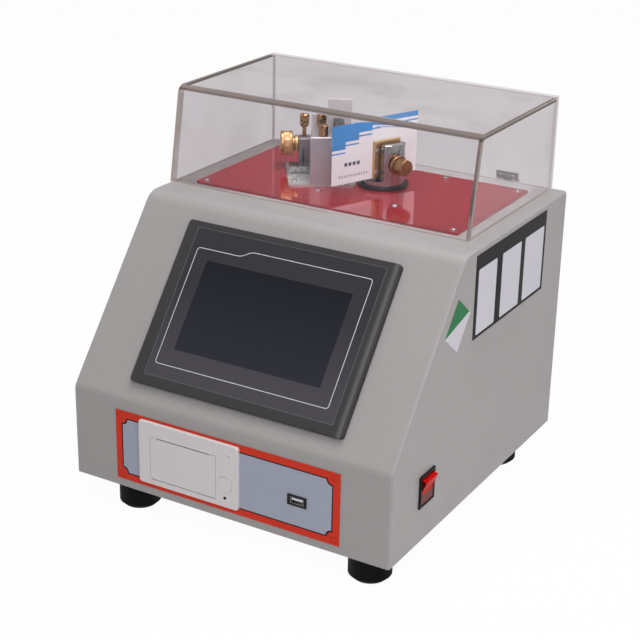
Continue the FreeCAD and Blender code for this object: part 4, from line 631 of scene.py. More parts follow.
class TESTER_OT_stage(Operator):
    """White floor, soft lamps and the camera"""
    bl_idname = "tester.stage"
    bl_label = "Stage"

    def execute(self, context):
        settings = context.scene.tester_stage
        self.camera(context)
        self.floor()
        self.world(context, settings.surround)
        self.flag("Rear flag", (-1.6, 2.6, 1.2), (2.6, 1.8), shade(140, 140, 142))
        self.flag("Side flag", (2.9, 0.4, 1.1), (2.4, 1.8), shade(30, 30, 32))
        self.lamp("Key", (0.85, -0.85, 1.1), 0.8, settings.key)
        self.lamp("Top", (0.2, 0.1, 2.2), 1.4, settings.top)
        self.lamp("Side", (2.2, 0.3, 0.9), 1.2, settings.side, (1.0, 0.8, 0.84))
        context.scene.view_settings.view_transform = "Standard"
        return {"FINISHED"}

    def camera(self, context):
        data = bpy.data.cameras.new("Camera")
        data.lens = 87.39
        data.sensor_width = 36.0
        data.sensor_fit = "HORIZONTAL"
        data.clip_start = 0.05
        data.clip_end = 40.0
        camera = bpy.data.objects.new("Camera", data)
        context.scene.collection.objects.link(camera)
        right = Vector((0.86084575, 0.50850481, 0.01916921))
        above = Vector((-0.20841574, 0.31795952, 0.92491331))
        back = Vector((0.46422783, -0.80020285, 0.37969451))
        turn = Matrix((right, above, back)).transposed().to_4x4()
        camera.matrix_world = Matrix.Translation((0.69569, -1.20826, 0.73430)) @ turn
        context.scene.camera = camera

    def floor(self):
        fresh()
        bpy.ops.mesh.primitive_plane_add(size=14.0)
        floor = bpy.context.object
        floor.name = "Floor"
        material = bpy.data.materials.new("Studio floor")
        material.use_nodes = True
        recipe = Recipe(material.node_tree)
        shader = material.node_tree.nodes["Principled BSDF"]
        recipe.feed(shader, "Base Color", (0.86, 0.86, 0.86, 1.0))
        recipe.feed(shader, "Roughness", 0.9)
        seen = recipe.seen()
        white = recipe.add("ShaderNodeEmission", {"Color": (1, 1, 1, 1), "Strength": 1.0})
        both = recipe.add("ShaderNodeMixShader", {0: recipe.times(seen, 0.97),
                                                  1: shader.outputs[0],
                                                  2: white.outputs[0]})
        out = material.node_tree.nodes["Material Output"]
        recipe.feed(out, "Surface", both.outputs[0])
        floor.data.materials.append(material)

    def world(self, context, surround):
        world = bpy.data.worlds.new("Studio")
        context.scene.world = world
        world.use_nodes = True
        recipe = Recipe(world.node_tree)
        seen = recipe.seen()
        background = world.node_tree.nodes["Background"]
        recipe.feed(background, "Color", (1.0, 1.0, 1.0, 1.0))
        recipe.feed(background, "Strength", recipe.between(seen, 0.0, 1.0, surround, 1.0))

    def flag(self, name, where, size, colour):
        """A grey card that only reflections see."""
        fresh()
        bpy.ops.mesh.primitive_plane_add(size=1.0)
        card = bpy.context.object
        card.name = name
        place(card, Matrix.Diagonal((*size, 1.0, 1.0)))
        aim = Vector((0, 0, 0.25)) - Vector(where)
        place(card, Matrix.Translation(where) @ aim.to_track_quat("-Z", "Y").to_matrix().to_4x4())
        for kind in ("camera", "diffuse", "volume_scatter", "shadow"):
            setattr(card, "visible_" + kind, False)
        material = bpy.data.materials.new(name)
        material.use_nodes = True
        recipe = Recipe(material.node_tree)
        grey = recipe.add("ShaderNodeEmission", {"Color": colour, "Strength": 1.0})
        recipe.feed(material.node_tree.nodes["Material Output"], "Surface", grey.outputs[0])
        card.data.materials.append(material)

    def lamp(self, name, where, size, power, colour=(1.0, 1.0, 1.0)):
        data = bpy.data.lights.new(name, "AREA")
        data.color = colour
        data.shape = "DISK"
        data.size = size
        data.energy = power
        lamp = bpy.data.objects.new(name, data)
        bpy.context.scene.collection.objects.link(lamp)
        lamp.location = where
        aim = Vector((0, 0, 0.15)) - lamp.location
        lamp.rotation_euler = aim.to_track_quat("-Z", "Y").to_euler()


class TESTER_OT_cabinet(Operator):
    """Cabinet, base, rear panel, feet and case screws"""
    bl_idname = "tester.cabinet"
    bl_label = "Cabinet"

    def execute(self, context):
        settings = context.scene.tester_cabinet
        finish = Finish("Grey powder coat")
        tinted, height = grained(finish, settings.paint, settings.paint_grain, 0.34)
        # painted shade: the top under the cover is darkened towards shade(100, 94, 92), most at
        # the left
        finish.set("Base Color", finish.mix(self.grime(finish), tinted, shade(100, 94, 92)))
        dull(finish, 0.42, 0.5, 14.0)
        finish.bump(height, 0.36, settings.paint_grain * 0.4)
        finish_nodes(finish.material, "cabinet_shell", "rear_panel")
        finish_nodes(zinc(), "base_plate")
        rubber = plain("Moulded rubber", settings.rubber, 0.62, 0.0009, 0.3, 0.25,
                       specular_ior_level=0.08)
        finish_nodes(rubber, "rubber_feet", "platen_roller")
        self.screws()
        return {"FINISHED"}

    def grime(self, finish):
        """How much painted shade darkens the top under the cover, most at the left."""
        where = finish.add("ShaderNodeSeparateXYZ", {0: finish.place}).outputs
        low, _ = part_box("cover_sheet")
        left, right = low.x + 0.022, low.x + 0.1
        top = finish.between(where["Z"], low.z - 0.0015, low.z - 0.001)
        behind = finish.between(where["Y"], low.y + 0.003, low.y + 0.006)
        across = finish.between(where["X"], left, right, 0.75, 0.1)
        return finish.times(finish.times(top, behind), across)

    def screws(self):
        """Cross-recessed screws: under the base, in the feet, in the rear panel and hinges."""
        kinds = {"base": (0.0056, 0.002, 0.003), "foot": (0.008, 0.003, 0.004),
                 "rear": (0.0056, 0.002, 0.003), "hinge": (0.0046, 0.0012, 0.0025)}
        places = {kind: [] for kind in kinds}
        for low, high in islands("case_screws"):
            centre, span = (low + high) / 2, high - low
            if span.z > span.y:
                kind = "foot" if span.x > 0.007 else "base"
                seat = Matrix.Translation((centre.x, centre.y, low.z + kinds[kind][1]))
                turn = Matrix.Rotation(math.pi, 4, "X")
            else:
                kind = "rear" if span.x > 0.005 else "hinge"
                seat = Matrix.Translation((centre.x, high.y - kinds[kind][1], centre.z))
                turn = Matrix.Rotation(-math.pi / 2, 4, "X")
            places[kind].append(seat @ turn)
        for kind, size in kinds.items():
            screw_set("case_screws_" + kind, (*size, 0.003), places[kind], "root",
                      "case_screws", "zinc_steel")


class TESTER_OT_touch_panel(Operator):
    """Touch panel: moulding, printed film, dark display and thin printed line"""
    bl_idname = "tester.touch_panel"
    bl_label = "Touch panel"

    def execute(self, context):
        settings = context.scene.tester_front
        self.bezel(settings)
        self.film(settings)
        self.line(settings)
        housing = plain("Grey housing", shade(96, 97, 99), 0.5)
        finish_nodes(housing, "touch_housing", "printer_body")
        return {"FINISHED"}

    def edges(self, node):
        """The left, low, right and high edge of a node on the sloped face, in millimetres."""
        turn = ON_SLOPE.inverted()
        places = [turn @ vertex.co * 1000 for vertex in NODES[node].data.vertices]
        across, up = [co.x for co in places], [co.y for co in places]
        return min(across), min(up), max(across), max(up)

    def bezel(self, settings):
        """Grained moulding, with a painted highlight along the rounded ridge on its right."""
        finish = Finish("Bezel moulding", specular_ior_level=0.25)
        x, _, _ = finish.local(ON_SLOPE)
        right = self.edges("touch_bezel")[2]
        # painted highlight: a band near the right edge is lightened towards shade(104, 104, 107)
        ridge = finish.times(finish.between(x, right - 8.0, right - 4.5),
                             finish.between(x, right - 3.2, right - 1.6, 1.0, 0.0))
        tinted, height = grained(finish, settings.bezel, 0.0007, 0.14)
        finish.set("Base Color", finish.mix(finish.times(ridge, 0.8), tinted,
                                            shade(104, 104, 107)))
        dull(finish, 0.4, 0.52)
        finish.bump(height, 0.12, 0.0007)
        finish_nodes(finish.material, "touch_bezel")

    def film(self, settings):
        finish = Finish("Printed film", specular_ior_level=0.16)
        x, y, _ = finish.local(ON_SLOPE)
        shown = patch(finish, x, y, DISPLAY_EDGES, 0.5, 0.2)
        speckled, height = grained(finish, settings.film, 0.0005, 0.12)
        # painted reflection: the film grows paler towards the bottom, towards shade(76, 73, 80)
        tinted = finish.mix(finish.between(y, 20.0, -60.0), speckled, shade(76, 73, 80))
        # painted reflection and shade: the dark display is paler at the top and darker at the
        # bottom
        glow = finish.mix(finish.between(y, -45.0, 45.0), (0.021, 0.022, 0.036, 1.0),
                          settings.display)
        rim = self.rim(finish, x, y)
        finish.set("Base Color", finish.mix(shown, finish.mix(rim, tinted, shade(98, 96, 100)),
                                            glow))
        finish.set("Roughness", finish.between(shown, 0.0, 1.0, 0.34, 0.12))
        finish.bump(height, 0.04, 0.0002)
        finish_nodes(finish.material, "touch_screen")

    def rim(self, finish, x, y):
        """The pale cut edge round the film."""
        left, low, right, high = self.edges("touch_screen")
        inner = patch(finish, x, y, (left + 0.9, low + 0.9, right - 0.9, high - 0.9), 1.0, 0.2)
        return finish.minus(1.0, inner)

    def line(self, settings):
        """The thin line round the display, with its step at the upper left."""
        fresh()
        bpy.ops.mesh.primitive_circle_add(vertices=len(LINE_CORNERS), radius=0.05,
                                          fill_type="NGON")
        piece = bpy.context.object
        piece.name = "touch_print"
        for vertex, (across, up) in zip(piece.data.vertices, LINE_CORNERS):
            vertex.co = (across / 1000, up / 1000, 0)
        open_all(piece)
        bpy.ops.mesh.normals_make_consistent(inside=False)
        bpy.ops.mesh.bevel(offset=0.0032, offset_type="OFFSET", segments=5, affect="VERTICES")
        bpy.ops.mesh.inset(thickness=settings.line_width, depth=0)
        bpy.ops.mesh.delete(type="FACE")
        close_mesh()
        modify(piece, "SOLIDIFY", thickness=0.00012, offset=0)
        face = max((vertex.co - PANEL_CENTRE).dot(OUTWARD)
                   for vertex in NODES["touch_screen"].data.vertices)
        place(piece, ON_SLOPE @ Matrix.Translation((0, 0, face + 0.00004)))
        ink = plain("Line ink", settings.line, 0.5, 0.0004, 0.06, 0.02)
        put(piece, "root", ink, slot="screen_glass")


class TESTER_OT_printed_plate(Operator):
    """Printed plate on the low front, its text places left bare"""
    bl_idname = "tester.printed_plate"
    bl_label = "Printed plate"

    def execute(self, context):
        settings = context.scene.tester_front
        finish = Finish("Plate print", specular_ior_level=0.12)
        low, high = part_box("label_plate")
        seat = Matrix.Translation(((low.x + high.x) / 2, low.y, (low.z + high.z) / 2))
        x, _, z = finish.local(seat)
        wide, tall = (high.x - low.x) * 500, (high.z - low.z) * 500
        line_in, field_in, hole_in, hole_ring = 6.6, 7.9, 5.2, 2.9
        inner = self.notched(finish, x, z, wide - line_in, tall - line_in)
        field = self.notched(finish, x, z, wide - field_in, tall - field_in)
        tinted, height = grained(finish, settings.border, 0.0008, 0.1)
        away_x = finish.minus(finish.size(x), wide - hole_in)
        away_z = finish.minus(finish.size(z), tall - hole_in)
        away = finish.size(finish.minus(finish.reach(away_x, away_z), hole_ring))
        ring = finish.between(away, 0.25, 0.55, 0.5, 0.0)
        colour = finish.mix(ring, tinted, shade(128, 26, 18))
        colour = finish.mix(inner, colour, shade(28, 20, 24))
        soft, _ = grained(finish, settings.field, 0.0011, 0.1)
        finish.set("Base Color", finish.mix(field, colour, soft))
        dull(finish, 0.4, 0.5)
        finish.bump(height, 0.05, 0.0002)
        finish_nodes(finish.material, "label_plate")
        return {"FINISHED"}

    def notched(self, finish, x, z, wide, tall):
        """A rectangle whose corners are scooped out round the plate's fixing rings."""
        box = patch(finish, x, z, (-wide, -tall, wide, tall), 0.0, 0.12)
        away_x = finish.minus(finish.size(x), wide)
        away_z = finish.minus(finish.size(z), tall)
        reach = finish.reach(away_x, away_z)
        return finish.times(box, finish.between(reach, 5.6, 5.8))


class TESTER_OT_printer(Operator):
    """Panel printer: moulding, door, key, release button and paper"""
    bl_idname = "tester.printer"
    bl_label = "Printer"

    def execute(self, context):
        settings = context.scene.tester_front
        colour = settings.plastic
        finish_nodes(plain("Door moulding", colour, 0.4, 0.0006, 0.05, 0.1), "printer_door")
        self.moulding(colour)
        finish_nodes(plain("Key moulding", colour, 0.36, 0.0006, 0.05, 0.08),
                     "feed_key", "release_button")
        paper = Finish("Roll paper", roughness=0.75)
        _, y, z = paper.local(Matrix.Translation(middle("paper_roll")))
        radius = paper.reach(y, z)
        layers = paper.math("SINE", paper.times(radius, math.tau / 0.5))
        paper.set("Base Color", paper.mix(paper.between(layers, -1.0, 1.0), shade(196, 193, 186),
                                          shade(232, 230, 224)))
        paper.bump(layers, 0.2, 0.0001)
        finish_nodes(paper.material, "paper_roll")
        return {"FINISHED"}

    def moulding(self, colour):
        """The printer's front, with its dark lamp low on the right."""
        finish = Finish("Printer moulding", roughness=0.4)
        low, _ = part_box("printer_bezel")
        x, _, z = finish.local(Matrix.Translation((low.x + 0.096, low.y, low.z + 0.0097)))
        reach = finish.reach(x, z)
        tinted, height = grained(finish, colour, 0.0006, 0.05)
        finish.set("Base Color", finish.mix(finish.between(reach, 1.5, 1.7), shade(26, 20, 20),
                                            tinted))
        finish.bump(height, 0.1, 0.0006)
        finish_nodes(finish.material, "printer_bezel")


class TESTER_OT_sockets(Operator):
    """Data socket, rocker switch and mains inlet"""
    bl_idname = "tester.sockets"
    bl_label = "Sockets and switch"

    def execute(self, context):
        black = plain("Black moulding", shade(20, 16, 16), 0.4, 0.0006, 0.2, 0.1,
                      specular_ior_level=0.15)
        finish_nodes(black, "switch_frame", "mains_inlet")
        self.data_socket()
        self.rocker(context.scene.tester_side)
        return {"FINISHED"}

    def data_socket(self):
        finish = Finish("Data socket moulding", roughness=0.4, specular_ior_level=0.15)
        low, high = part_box("usb_frame")
        seat = Matrix.Translation(((low.x + high.x) / 2, low.y, (low.z + high.z) / 2))
        x, y, z = finish.local(seat)
        tongue = patch(finish, x, z, (-5.7, -0.1, 5.7, 2.2), 0.0, 0.05)
        behind = finish.between(y, 0.9, 0.95)
        white = finish.times(tongue, behind)
        tinted, height = grained(finish, shade(24, 22, 24), 0.0006, 0.2)
        finish.set("Base Color", finish.mix(white, tinted, shade(236, 236, 240)))
        finish.bump(height, 0.08, 0.0002)
        finish_nodes(finish.material, "usb_frame")
        finish_nodes(drawn_metal("Socket sleeve", shade(206, 206, 204), 0.22, "Y"), "usb_shell")

    def rocker(self, settings):
        finish = Finish("Rocker moulding", roughness=0.4, specular_ior_level=0.06)
        tinted, height = grained(finish, settings.rocker, 0.0006, 0.1)
        low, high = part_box("rocker_button")
        _, _, z = finish.local(Matrix.Translation((low + high) / 2))
        # painted shade: faces that look along Y are coloured a darker red, shade(96, 8, 8)
        end = finish.between(finish.size(finish.facing()["Y"]), 0.6, 0.7)
        tinted = finish.mix(finish.between(z, -4.0, -2.0), shade(130, 72, 74), tinted)
        finish.set("Base Color", finish.mix(end, tinted, shade(96, 8, 8)))
        finish.bump(height, 0.04, 0.0002)
        finish_nodes(finish.material, "rocker_button")


class TESTER_OT_side_labels(Operator):
    """Wide label with three bare windows and the turned label on the right side"""
    bl_idname = "tester.side_labels"
    bl_label = "Side labels"

    def execute(self, context):
        settings = context.scene.tester_side
        finish = Finish("Label film", specular_ior_level=0.05)
        _, y, z = finish.local(Matrix.Identity(4))
        colour, height = grained(finish, settings.backing, 0.0009, 0.15)
        for left, right in WINDOW_SPANS:
            window = patch(finish, y, z, (left, WINDOW_LOW, right, WINDOW_HIGH), 2.0, 0.2)
            colour = finish.mix(window, colour, settings.window)
        wide = finish.between(y, -38.0, -34.0)
        above = finish.minus(z, finish.times(y, 0.24))
        turned = finish.mix(finish.between(above, 232.1, 232.7), settings.window,
                            settings.green)
        finish.set("Base Color", finish.mix(wide, turned, colour))
        dull(finish, 0.34, 0.44)
        finish.bump(height, 0.03, 0.0002)
        finish_nodes(finish.material, "side_labels")
        return {"FINISHED"}


class TESTER_OT_deck(Operator):
    """Red deck plate, its screws and the black bearing flange"""
    bl_idname = "tester.deck"
    bl_label = "Deck"

    def execute(self, context):
        settings = context.scene.tester_mechanism
        finish = Finish("Deck enamel", coat_weight=0.7, coat_roughness=0.02,
                        specular_ior_level=0.5)
        tinted, height = grained(finish, settings.deck, 0.004, 0.06)
        finish.set("Base Color", tinted)
        dull(finish, 0.07, 0.16, 10.0)
        finish.bump(height, 0.006, 0.0005)
        finish_nodes(finish.material, "deck_plate")
        black = plain("Black anodised", shade(28, 27, 28), 0.3, 0.0006, 0.2, 0.06)
        finish_nodes(black, "bearing_flange")
        self.screws(0.0017)
        return {"FINISHED"}

    def screws(self, tall):
        """The deck's screws, each left at a turn of its own."""
        seats = [Matrix.Translation(((low.x + high.x) / 2, (low.y + high.y) / 2, high.z - tall))
                 @ Matrix.Rotation(low.x * 40 + low.y * 25, 4, "Z")
                 for low, high in islands("deck_screws")]
        screw_set("deck_screws_crossed", (0.006, tall, 0.003, 0.003), seats, "root",
                  "deck_screws", "zinc_steel")


class TESTER_OT_clamp(Operator):
    """Specimen clamp: chromed column, jaws, pressing plate and clamping screw"""
    bl_idname = "tester.clamp"
    bl_label = "Specimen clamp"

    def execute(self, context):
        settings = context.scene.tester_mechanism
        chrome = Finish("Chrome", metallic=1.0)
        cloud = chrome.noise(chrome.place, 60.0, 2.0)
        chrome.set("Base Color", chrome.mix(cloud, shade(160, 159, 163), shade(184, 183, 186)))
        chrome.set("Roughness", chrome.between(cloud, 0.3, 0.7, 0.04, 0.09))
        finish_nodes(chrome.material, "clamp_column", "clamp_spindle", "probe")
        steel = drawn_metal("Satin aluminium", shade(186, 187, 190), 0.3, "Z")
        finish_nodes(steel, "rear_jaw", "shaft_coupling")
        finish_nodes(drawn_metal("Rolled brass", shade(216, 184, 134), 0.32, "Z", 0.03, 0.9),
                     "pressing_plate")
        self.plate_screws()
        self.clamp_screw(settings)
        return {"FINISHED"}

    def plate_screws(self):
        jaw_gap, plate_wall = 0.00005, 0.003
        face = CARD_FACE + CARD_WALL + jaw_gap + plate_wall
        seats = [ON_CLAMP @ Matrix.Translation((face, -0.0158, rise))
                 @ Matrix.Rotation(math.pi / 2, 4, "Y") @ Matrix.Rotation(turn, 4, "Z")
                 for rise, turn in ((0.0381, 0.4), (0.0171, 1.1))]
        screw_set("plate_screws_crossed", (0.005, 0.0013, 0.003, 0.002), seats, "jaw",
                  "plate_screws", "polished_steel")

    def clamp_screw(self, settings):
        """The shank, the wide wheel with its fine teeth and the slimmer grip."""
        start, wheel, grip = 0.0218, 0.0032, 0.011
        profile = [(0.0025, 0.0098), (0.0025, start), (0.0092, start), (0.01, start + 0.0008),
                   (0.01, start + wheel - 0.0008), (0.0092, start + wheel),
                   (0.0072, start + wheel), (0.008, start + wheel + 0.0006),
                   (0.008, start + wheel + grip - 0.0007),
                   (0.0074, start + wheel + grip), (0.0068, start + wheel + grip),
                   (0.0066, start + wheel + grip - 0.00015)]
        piece = turned("clamp_screw_turned", profile, FINE_SIDES)
        straight_knurl(piece, 0.01, 0.00022)
        smooth(piece, 24)
        seat = ON_CLAMP @ Matrix.Translation((0, 0, 0.025)) @ Matrix.Rotation(math.pi / 2, 4, "Y")
        place(piece, seat)
        axes = ON_CLAMP @ Matrix.Translation((0, 0, 0.025))
        bronze = ringed_metal("Turned bronze", settings.bronze, 0.34, axes)
        put(piece, "clamp_grip", bronze, "clamp_screw", slot="brass")


class TESTER_OT_load_unit(Operator):
    """Load unit: base, plates, rail, carriage, load cell, knob and thumb screws"""
    bl_idname = "tester.load_unit"
    bl_label = "Load unit"

    def execute(self, context):
        settings = context.scene.tester_mechanism
        for name, node, colour, *marks in (
                ("Brushed aluminium", "front_plate", (180, 172, 178), 0.3, "Z", 0.01, 0.96, 0.6),
                ("Milled aluminium", "carriage_block", (202, 202, 206), 0.3, "X", 0.04, 0.92, 0.5),
                ("Cast aluminium", "screw_bracket", (150, 142, 150), 0.34, "Z", 0.02, 0.9, 0.6),
                ("Pale aluminium", "tall_plate", (204, 198, 200), 0.4, "Z", 0.02, 0.94, 0.1)):
            finish_nodes(drawn_metal(name, shade(*colour), *marks), node)
        grey = plain("Grey anodised", shade(190, 190, 187), 0.26, 0.0007, 0.08, 0.04,
                     metallic=0.5)
        finish_nodes(grey, "load_base")
        finish_nodes(drawn_metal("Ground steel", shade(176, 178, 182), 0.2, "X"),
                     "slide_rail", "spindle_bearings")
        finish_nodes(plain("Black load cell", shade(48, 46, 50), 0.36, 0.0006, 0.15, 0.06),
                     "load_cell")
        finish_nodes(plain("Cable sheath", shade(34, 33, 34), 0.45, 0.0005, 0.15, 0.08),
                     "load_cable")
        self.knob()
        self.thumb_screws(settings)
        return {"FINISHED"}

    def knob(self):
        """The big knob with its toothed wheel, hub and lead screw."""
        left, wheel = -0.0986, 0.0122
        end = left + wheel
        profile = [(0.0095, left), (0.0115, left), (0.0125, left + 0.001),
                   (0.0125, left + 0.0028), (0.012, left + 0.0034), (0.012, end - 0.0034),
                   (0.0125, end - 0.0028), (0.0125, end - 0.001),
                   (0.0115, end), (0.006, end), (0.006, end + 0.0016), (0.0068, end + 0.0016),
                   (0.008, end + 0.0026), (0.008, -0.0813), (0.0074, -0.0803),
                   (0.0025, -0.0803), (0.0025, -0.052)]
        piece = turned("adjusting_knob_turned", profile, FINE_SIDES)
        straight_knurl(piece, 0.012, 0.0002)
        smooth(piece, 24)
        seat = ON_LOAD @ Matrix.Translation((0, 0.061, 0.0245))
        place(piece, seat @ Matrix.Rotation(math.pi / 2, 4, "Y"))
        put(piece, "knob", brass(), "adjusting_knob", slot="brass")

    def thumb_screws(self, settings):
        """Three knurled thumb screws, modelled once at deck level."""
        radius, tall, edge = 0.00465, 0.0124, 0.0008
        # the dark, fine mottle is partly tarnish and partly painted shade between the knurl's
        # teeth
        knurled = brass("Knurled brass", 0.22, 620.0, (0.44, 0.58))
        rings = [edge + 0.0016 + step * (tall - 2 * edge - 0.0016) / 10 for step in range(11)]
        profile = [(0.002, -0.011), (0.002, 0), (radius - edge, 0), (radius - 0.0003, edge),
                   (radius - 0.0003, edge + 0.001), (radius, edge + 0.0016)]
        profile += [(radius, ring) for ring in rings[1:]]
        profile += [(radius - edge, tall), (radius - 0.0015, tall),
                    (radius - 0.0017, tall - 0.0004)]
        first = turned("thumb_screw", profile, 2 * (settings.knurl_teeth // 2))
        cross_knurl(first, radius, rings[1:-1], settings.knurl_depth)
        for body, side, back, rise in (("thumb_left", 74.6, 61.0, 42.0),
                                       ("thumb_rear", 59.4, 33.0, 50.7),
                                       ("thumb_front", 59.1, 5.0, 46.3)):
            seat = ON_LOAD @ Matrix.Translation((-side / 1000, back / 1000, rise / 1000))
            screw = copies(first, body + "_knurled", [seat])
            smooth(screw, 18)
            put(screw, body, knurled, "thumb_screw" + body[5:], slot="brass")
        bpy.data.objects.remove(first)


class TESTER_OT_specimen(Operator):
    """Printed card in the jaws, its free end bowed slightly"""
    bl_idname = "tester.specimen"
    bl_label = "Specimen card"

    def execute(self, context):
        settings = context.scene.tester_card
        out, inward, low, high, straight = 0.068, 0.035, 0.0108, 0.069, 0.02
        fresh()
        bpy.ops.mesh.primitive_grid_add(x_subdivisions=52, y_subdivisions=16, size=1)
        piece = bpy.context.object
        piece.name = "specimen_card"
        open_all(piece)
        bpy.ops.transform.resize(value=(out + inward, high - low, 1), center_override=(0, 0, 0))
        bpy.ops.transform.translate(value=((inward - out) / 2, (low + high) / 2, 0))
        close_mesh()
        for vertex in piece.data.vertices:
            free = max(0.0, (-vertex.co.x - straight) / (out - straight))
            vertex.co.z = settings.bow * free * free
        modify(piece, "SOLIDIFY", thickness=CARD_WALL, offset=1)
        upright = Matrix(((0, 0, 1), (1, 0, 0), (0, 1, 0))).to_4x4()
        place(piece, ON_CLAMP @ Matrix.Translation((CARD_FACE, 0, 0)) @ upright)
        smooth(piece)
        piece.data.materials.clear()
        piece.data.materials.append(self.card(settings, (out + inward) * 1000,
                                              (high - low) * 1000))
        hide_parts("test_specimen")
        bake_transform(piece)
        return {"FINISHED"}

    def card(self, settings, wide, tall):
        """White card with a stepped blue band, ticks along the foot and a row of squares."""
        finish = Finish("Printed card", roughness=0.4)
        where = finish.add("ShaderNodeUVMap").outputs[0]
        part = finish.add("ShaderNodeSeparateXYZ", {0: where}).outputs
        x = finish.times(part[0], wide)
        y = finish.times(part[1], tall)
        foot = tall - 5.0
        for edge, drop in ((16.0, 7.0), (32.0, 7.0), (48.0, 5.0)):
            foot = finish.minus(foot, finish.between(x, edge - 0.1, edge + 0.1, drop, 0.0))
        above = finish.minus(y, foot)
        line = finish.times(finish.between(above, -4.2, -4.0),
                            finish.between(above, -2.7, -2.5, 1.0, 0.0))
        ink = finish.most(finish.between(above, -0.1, 0.1), line)
        ticks = self.row(finish, x, y, 3.0, 0.3, (8.0, 6.0, 44.0, 8.6))
        squares = self.row(finish, x, y, 5.0, 0.7, (15.0, 17.0, 34.0, 20.6))
        marks = finish.most(ticks, squares)
        tinted, height = grained(finish, settings.board, 0.0007, 0.04)
        colour = finish.mix(marks, tinted, settings.marks)
        finish.set("Base Color", finish.mix(ink, colour, settings.ink))
        finish.bump(height, 0.04, 0.0002)
        return finish.material

    def row(self, finish, x, y, pitch, share, box):
        """Marks at a pitch along X inside a rectangle, each over a share of the pitch."""
        step = finish.math("FRACT", finish.math("DIVIDE", x, pitch))
        marks = finish.between(step, share, share + 0.06, 1.0, 0.0)
        return finish.times(marks, patch(finish, x, y, box, 0.0, 0.1))


class TESTER_OT_cover(Operator):
    """Clear acrylic cover with its hinges"""
    bl_idname = "tester.cover"
    bl_label = "Cover"

    def execute(self, context):
        settings = context.scene.tester_cover
        finish_nodes(self.acrylic(settings, "Acrylic bent sheet", "X", 0.22), "cover_sheet")
        finish_nodes(self.acrylic(settings, "Acrylic side pane", "YZ", 0.4),
                     "cover_left", "cover_right")
        finish_nodes(self.acrylic(settings, "Acrylic rear pane", "XZ", 0.08), "cover_rear")
        nickel = drawn_metal("Nickel plate", shade(238, 232, 226), 0.36, "X", 0.04, 0.92, 0.2)
        finish_nodes(nickel, "hinge_leaves_fixed", "hinge_leaves_cover", "hinge_pins")
        self.screws()
        return {"FINISHED"}

    def acrylic(self, settings, name, edges, gloss):
        """Clear faces, and frosted cut edges on the faces that look along the axes named.

        The edges and the bend are dark with painted light in their emission: a faint painted glow,
        a band of painted shade just under the top, and a paler painted glow at the rear.
        """
        finish = Finish(name, transmission_weight=1.0, ior=1.1, coat_weight=gloss,
                        coat_roughness=0.0, coat_ior=1.5, emission_strength=1.0)
        parts = finish.facing()
        where = finish.add("ShaderNodeSeparateXYZ", {0: finish.place}).outputs
        low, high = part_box("cover_sheet")
        share = 0.0
        for axis in edges:
            share = finish.most(finish.size(parts["XYZ".index(axis)]), share)
        rear = finish.between(where["Y"], high.y - 0.006, high.y - 0.005)
        under = finish.times(finish.size(parts["Z"]),
                             finish.between(where["Z"], low.z + 0.001, low.z + 0.002, 1.0, 0.0))
        cut = finish.between(finish.most(share, under), 0.8, 0.9)
        turn = finish.size(finish.times(parts["Y"], parts["Z"]))
        upper = finish.between(where["Z"], high.z - 0.0046, high.z - 0.004)
        bend = finish.times(finish.between(turn, 0.1, 0.16), upper)
        rim = finish.most(cut, bend)
        flat = finish.between(finish.size(parts["Z"]), 0.9, 0.95)
        smudge = finish.group(smudge_group(), {"Place": finish.place, "Scale": 14.0,
                                               "Amount": 0.5}).outputs[0]
        # painted light: level faces take a paler tint, shade(250, 246, 247), than the upright ones
        sheet = finish.mix(flat, settings.sheet, shade(250, 246, 247))
        sheet = finish.mix(smudge, sheet, shade(212, 208, 209))
        finish.set("Base Color", finish.mix(rim, sheet, (0.02, 0.017, 0.016, 1.0)))
        finish.set("Roughness", finish.between(cut, 0.0, 1.0, 0.0, 0.45))
        # painted light and shade on the cut edges: a paler top strip and lower part, a darker band
        # between
        pale = finish.most(finish.between(where["Z"], high.z - 0.0026, high.z - 0.002),
                           finish.between(where["Z"], high.z - 0.006, high.z - 0.005, 1.0, 0.0))
        glow = finish.mix(pale, shade(86, 76, 72), settings.edge)
        # painted light: the rear edges glow paler, shade(182, 175, 176)
        glow = finish.mix(rear, glow, shade(182, 175, 176))
        finish.set("Emission Color", finish.mix(rim, (0.0, 0.0, 0.0, 1.0), glow))
        clear = finish.add("ShaderNodeBsdfTransparent", {"Color": (0.97, 0.965, 0.965, 1.0)})
        shadow = finish.add("ShaderNodeLightPath").outputs["Is Shadow Ray"]
        both = finish.add("ShaderNodeMixShader", {0: shadow, 1: finish.shader.outputs[0],
                                                  2: clear.outputs[0]})
        finish.feed(finish.tree.nodes["Material Output"], "Surface", both.outputs[0])
        return finish.material

    def screws(self):
        """Cross-recessed screws behind the rear pane, their nuts in front of it."""
        low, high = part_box("hinge_screws_cover")
        head, tall, shank, nut_half = 0.0046, 0.0012, 0.0025, 0.001
        upright = Matrix.Rotation(-math.pi / 2, 4, "X")
        centres = [(first + last) / 2 for first, last in islands("hinge_screws_cover")]
        nut = turned("cover_nut", [(shank, -nut_half), (shank, nut_half)], 6)
        nuts = copies(nut, "hinge_nuts", [
            Matrix.Translation((centre.x, low.y + nut_half, centre.z)) @ upright
            for centre in centres])
        bpy.data.objects.remove(nut)
        modify(nuts, "BEVEL", width=0.0002, segments=2)
        smooth(nuts)
        seats = [Matrix.Translation((centre.x, high.y - tall, centre.z)) @ upright
                 for centre in centres]
        screw_set("hinge_screws_crossed", (head, tall, shank, high.y - tall - low.y), seats,
                  "cover", "hinge_screws_cover", "nickel")
        put(nuts, "cover", zinc(), "hinge_screws_cover", slot="nickel")


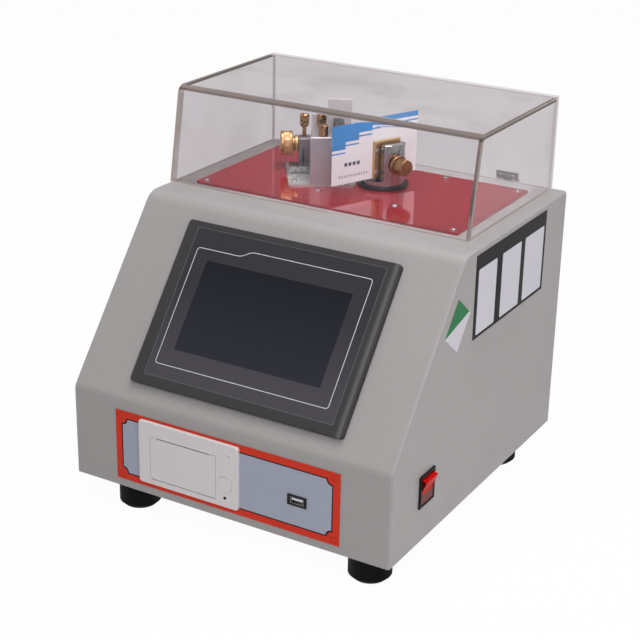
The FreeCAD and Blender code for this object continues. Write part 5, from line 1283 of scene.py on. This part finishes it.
class TESTER_OT_inside(Operator):
    """Parts inside the cabinet"""
    bl_idname = "tester.inside"
    bl_label = "Inside parts"

    def execute(self, context):
        finish_nodes(zinc(), "motor_bracket", "power_supply")
        finish_nodes(plain("Black motor", shade(34, 34, 36), 0.42, 0.0007, 0.2, 0.1),
                     "drive_motor")
        finish = Finish("Circuit board", roughness=0.4)
        x, _, z = finish.local(Matrix.Translation(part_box("control_board")[0]))
        tracks = finish.math("SINE", finish.times(x, math.tau / 2.54))
        lines = finish.between(tracks, 0.6, 0.8)
        board = finish.mix(lines, shade(18, 84, 50), shade(30, 112, 68))
        raised = finish.between(z, 7.8, 8.0)
        finish.set("Base Color", finish.mix(raised, board, shade(34, 34, 36)))
        finish_nodes(finish.material, "control_board")
        return {"FINISHED"}


class TESTER_PT_pieces(Panel):
    """Lists the pieces of the tester"""
    bl_idname = "TESTER_PT_pieces"
    bl_label = "Paper Stiffness Tester"
    bl_space_type = "VIEW_3D"
    bl_region_type = "UI"
    bl_category = "Tester"

    def draw(self, context):
        for piece in PIECES:
            self.layout.operator(piece.bl_idname)
        for name in SETTINGS:
            group = getattr(context.scene, name)
            column = self.layout.column()
            for prop in group.bl_rna.properties:
                if prop.identifier in type(group).__annotations__:
                    column.prop(group, prop.identifier)


SETTINGS = {
    "tester_cabinet": CabinetSettings,
    "tester_front": FrontSettings,
    "tester_mechanism": MechanismSettings,
    "tester_card": CardSettings,
    "tester_side": SideSettings,
    "tester_cover": CoverSettings,
    "tester_stage": StageSettings,
}

PIECES = (TESTER_OT_stage, TESTER_OT_cabinet, TESTER_OT_touch_panel, TESTER_OT_printed_plate,
          TESTER_OT_printer, TESTER_OT_sockets, TESTER_OT_side_labels, TESTER_OT_deck,
          TESTER_OT_clamp, TESTER_OT_load_unit, TESTER_OT_specimen, TESTER_OT_cover,
          TESTER_OT_inside)


def register():
    for name, group in SETTINGS.items():
        bpy.utils.register_class(group)
        setattr(bpy.types.Scene, name, PointerProperty(type=group))
    for piece in PIECES:
        bpy.utils.register_class(piece)
    bpy.utils.register_class(TESTER_PT_pieces)


def unregister():
    bpy.utils.unregister_class(TESTER_PT_pieces)
    for piece in reversed(PIECES):
        bpy.utils.unregister_class(piece)
    for name, group in SETTINGS.items():
        delattr(bpy.types.Scene, name)
        bpy.utils.unregister_class(group)


def main():
    register()
    for piece in PIECES:
        family, name = piece.bl_idname.split(".")
        getattr(getattr(bpy.ops, family), name)()


if __name__ == "__main__":
    main()
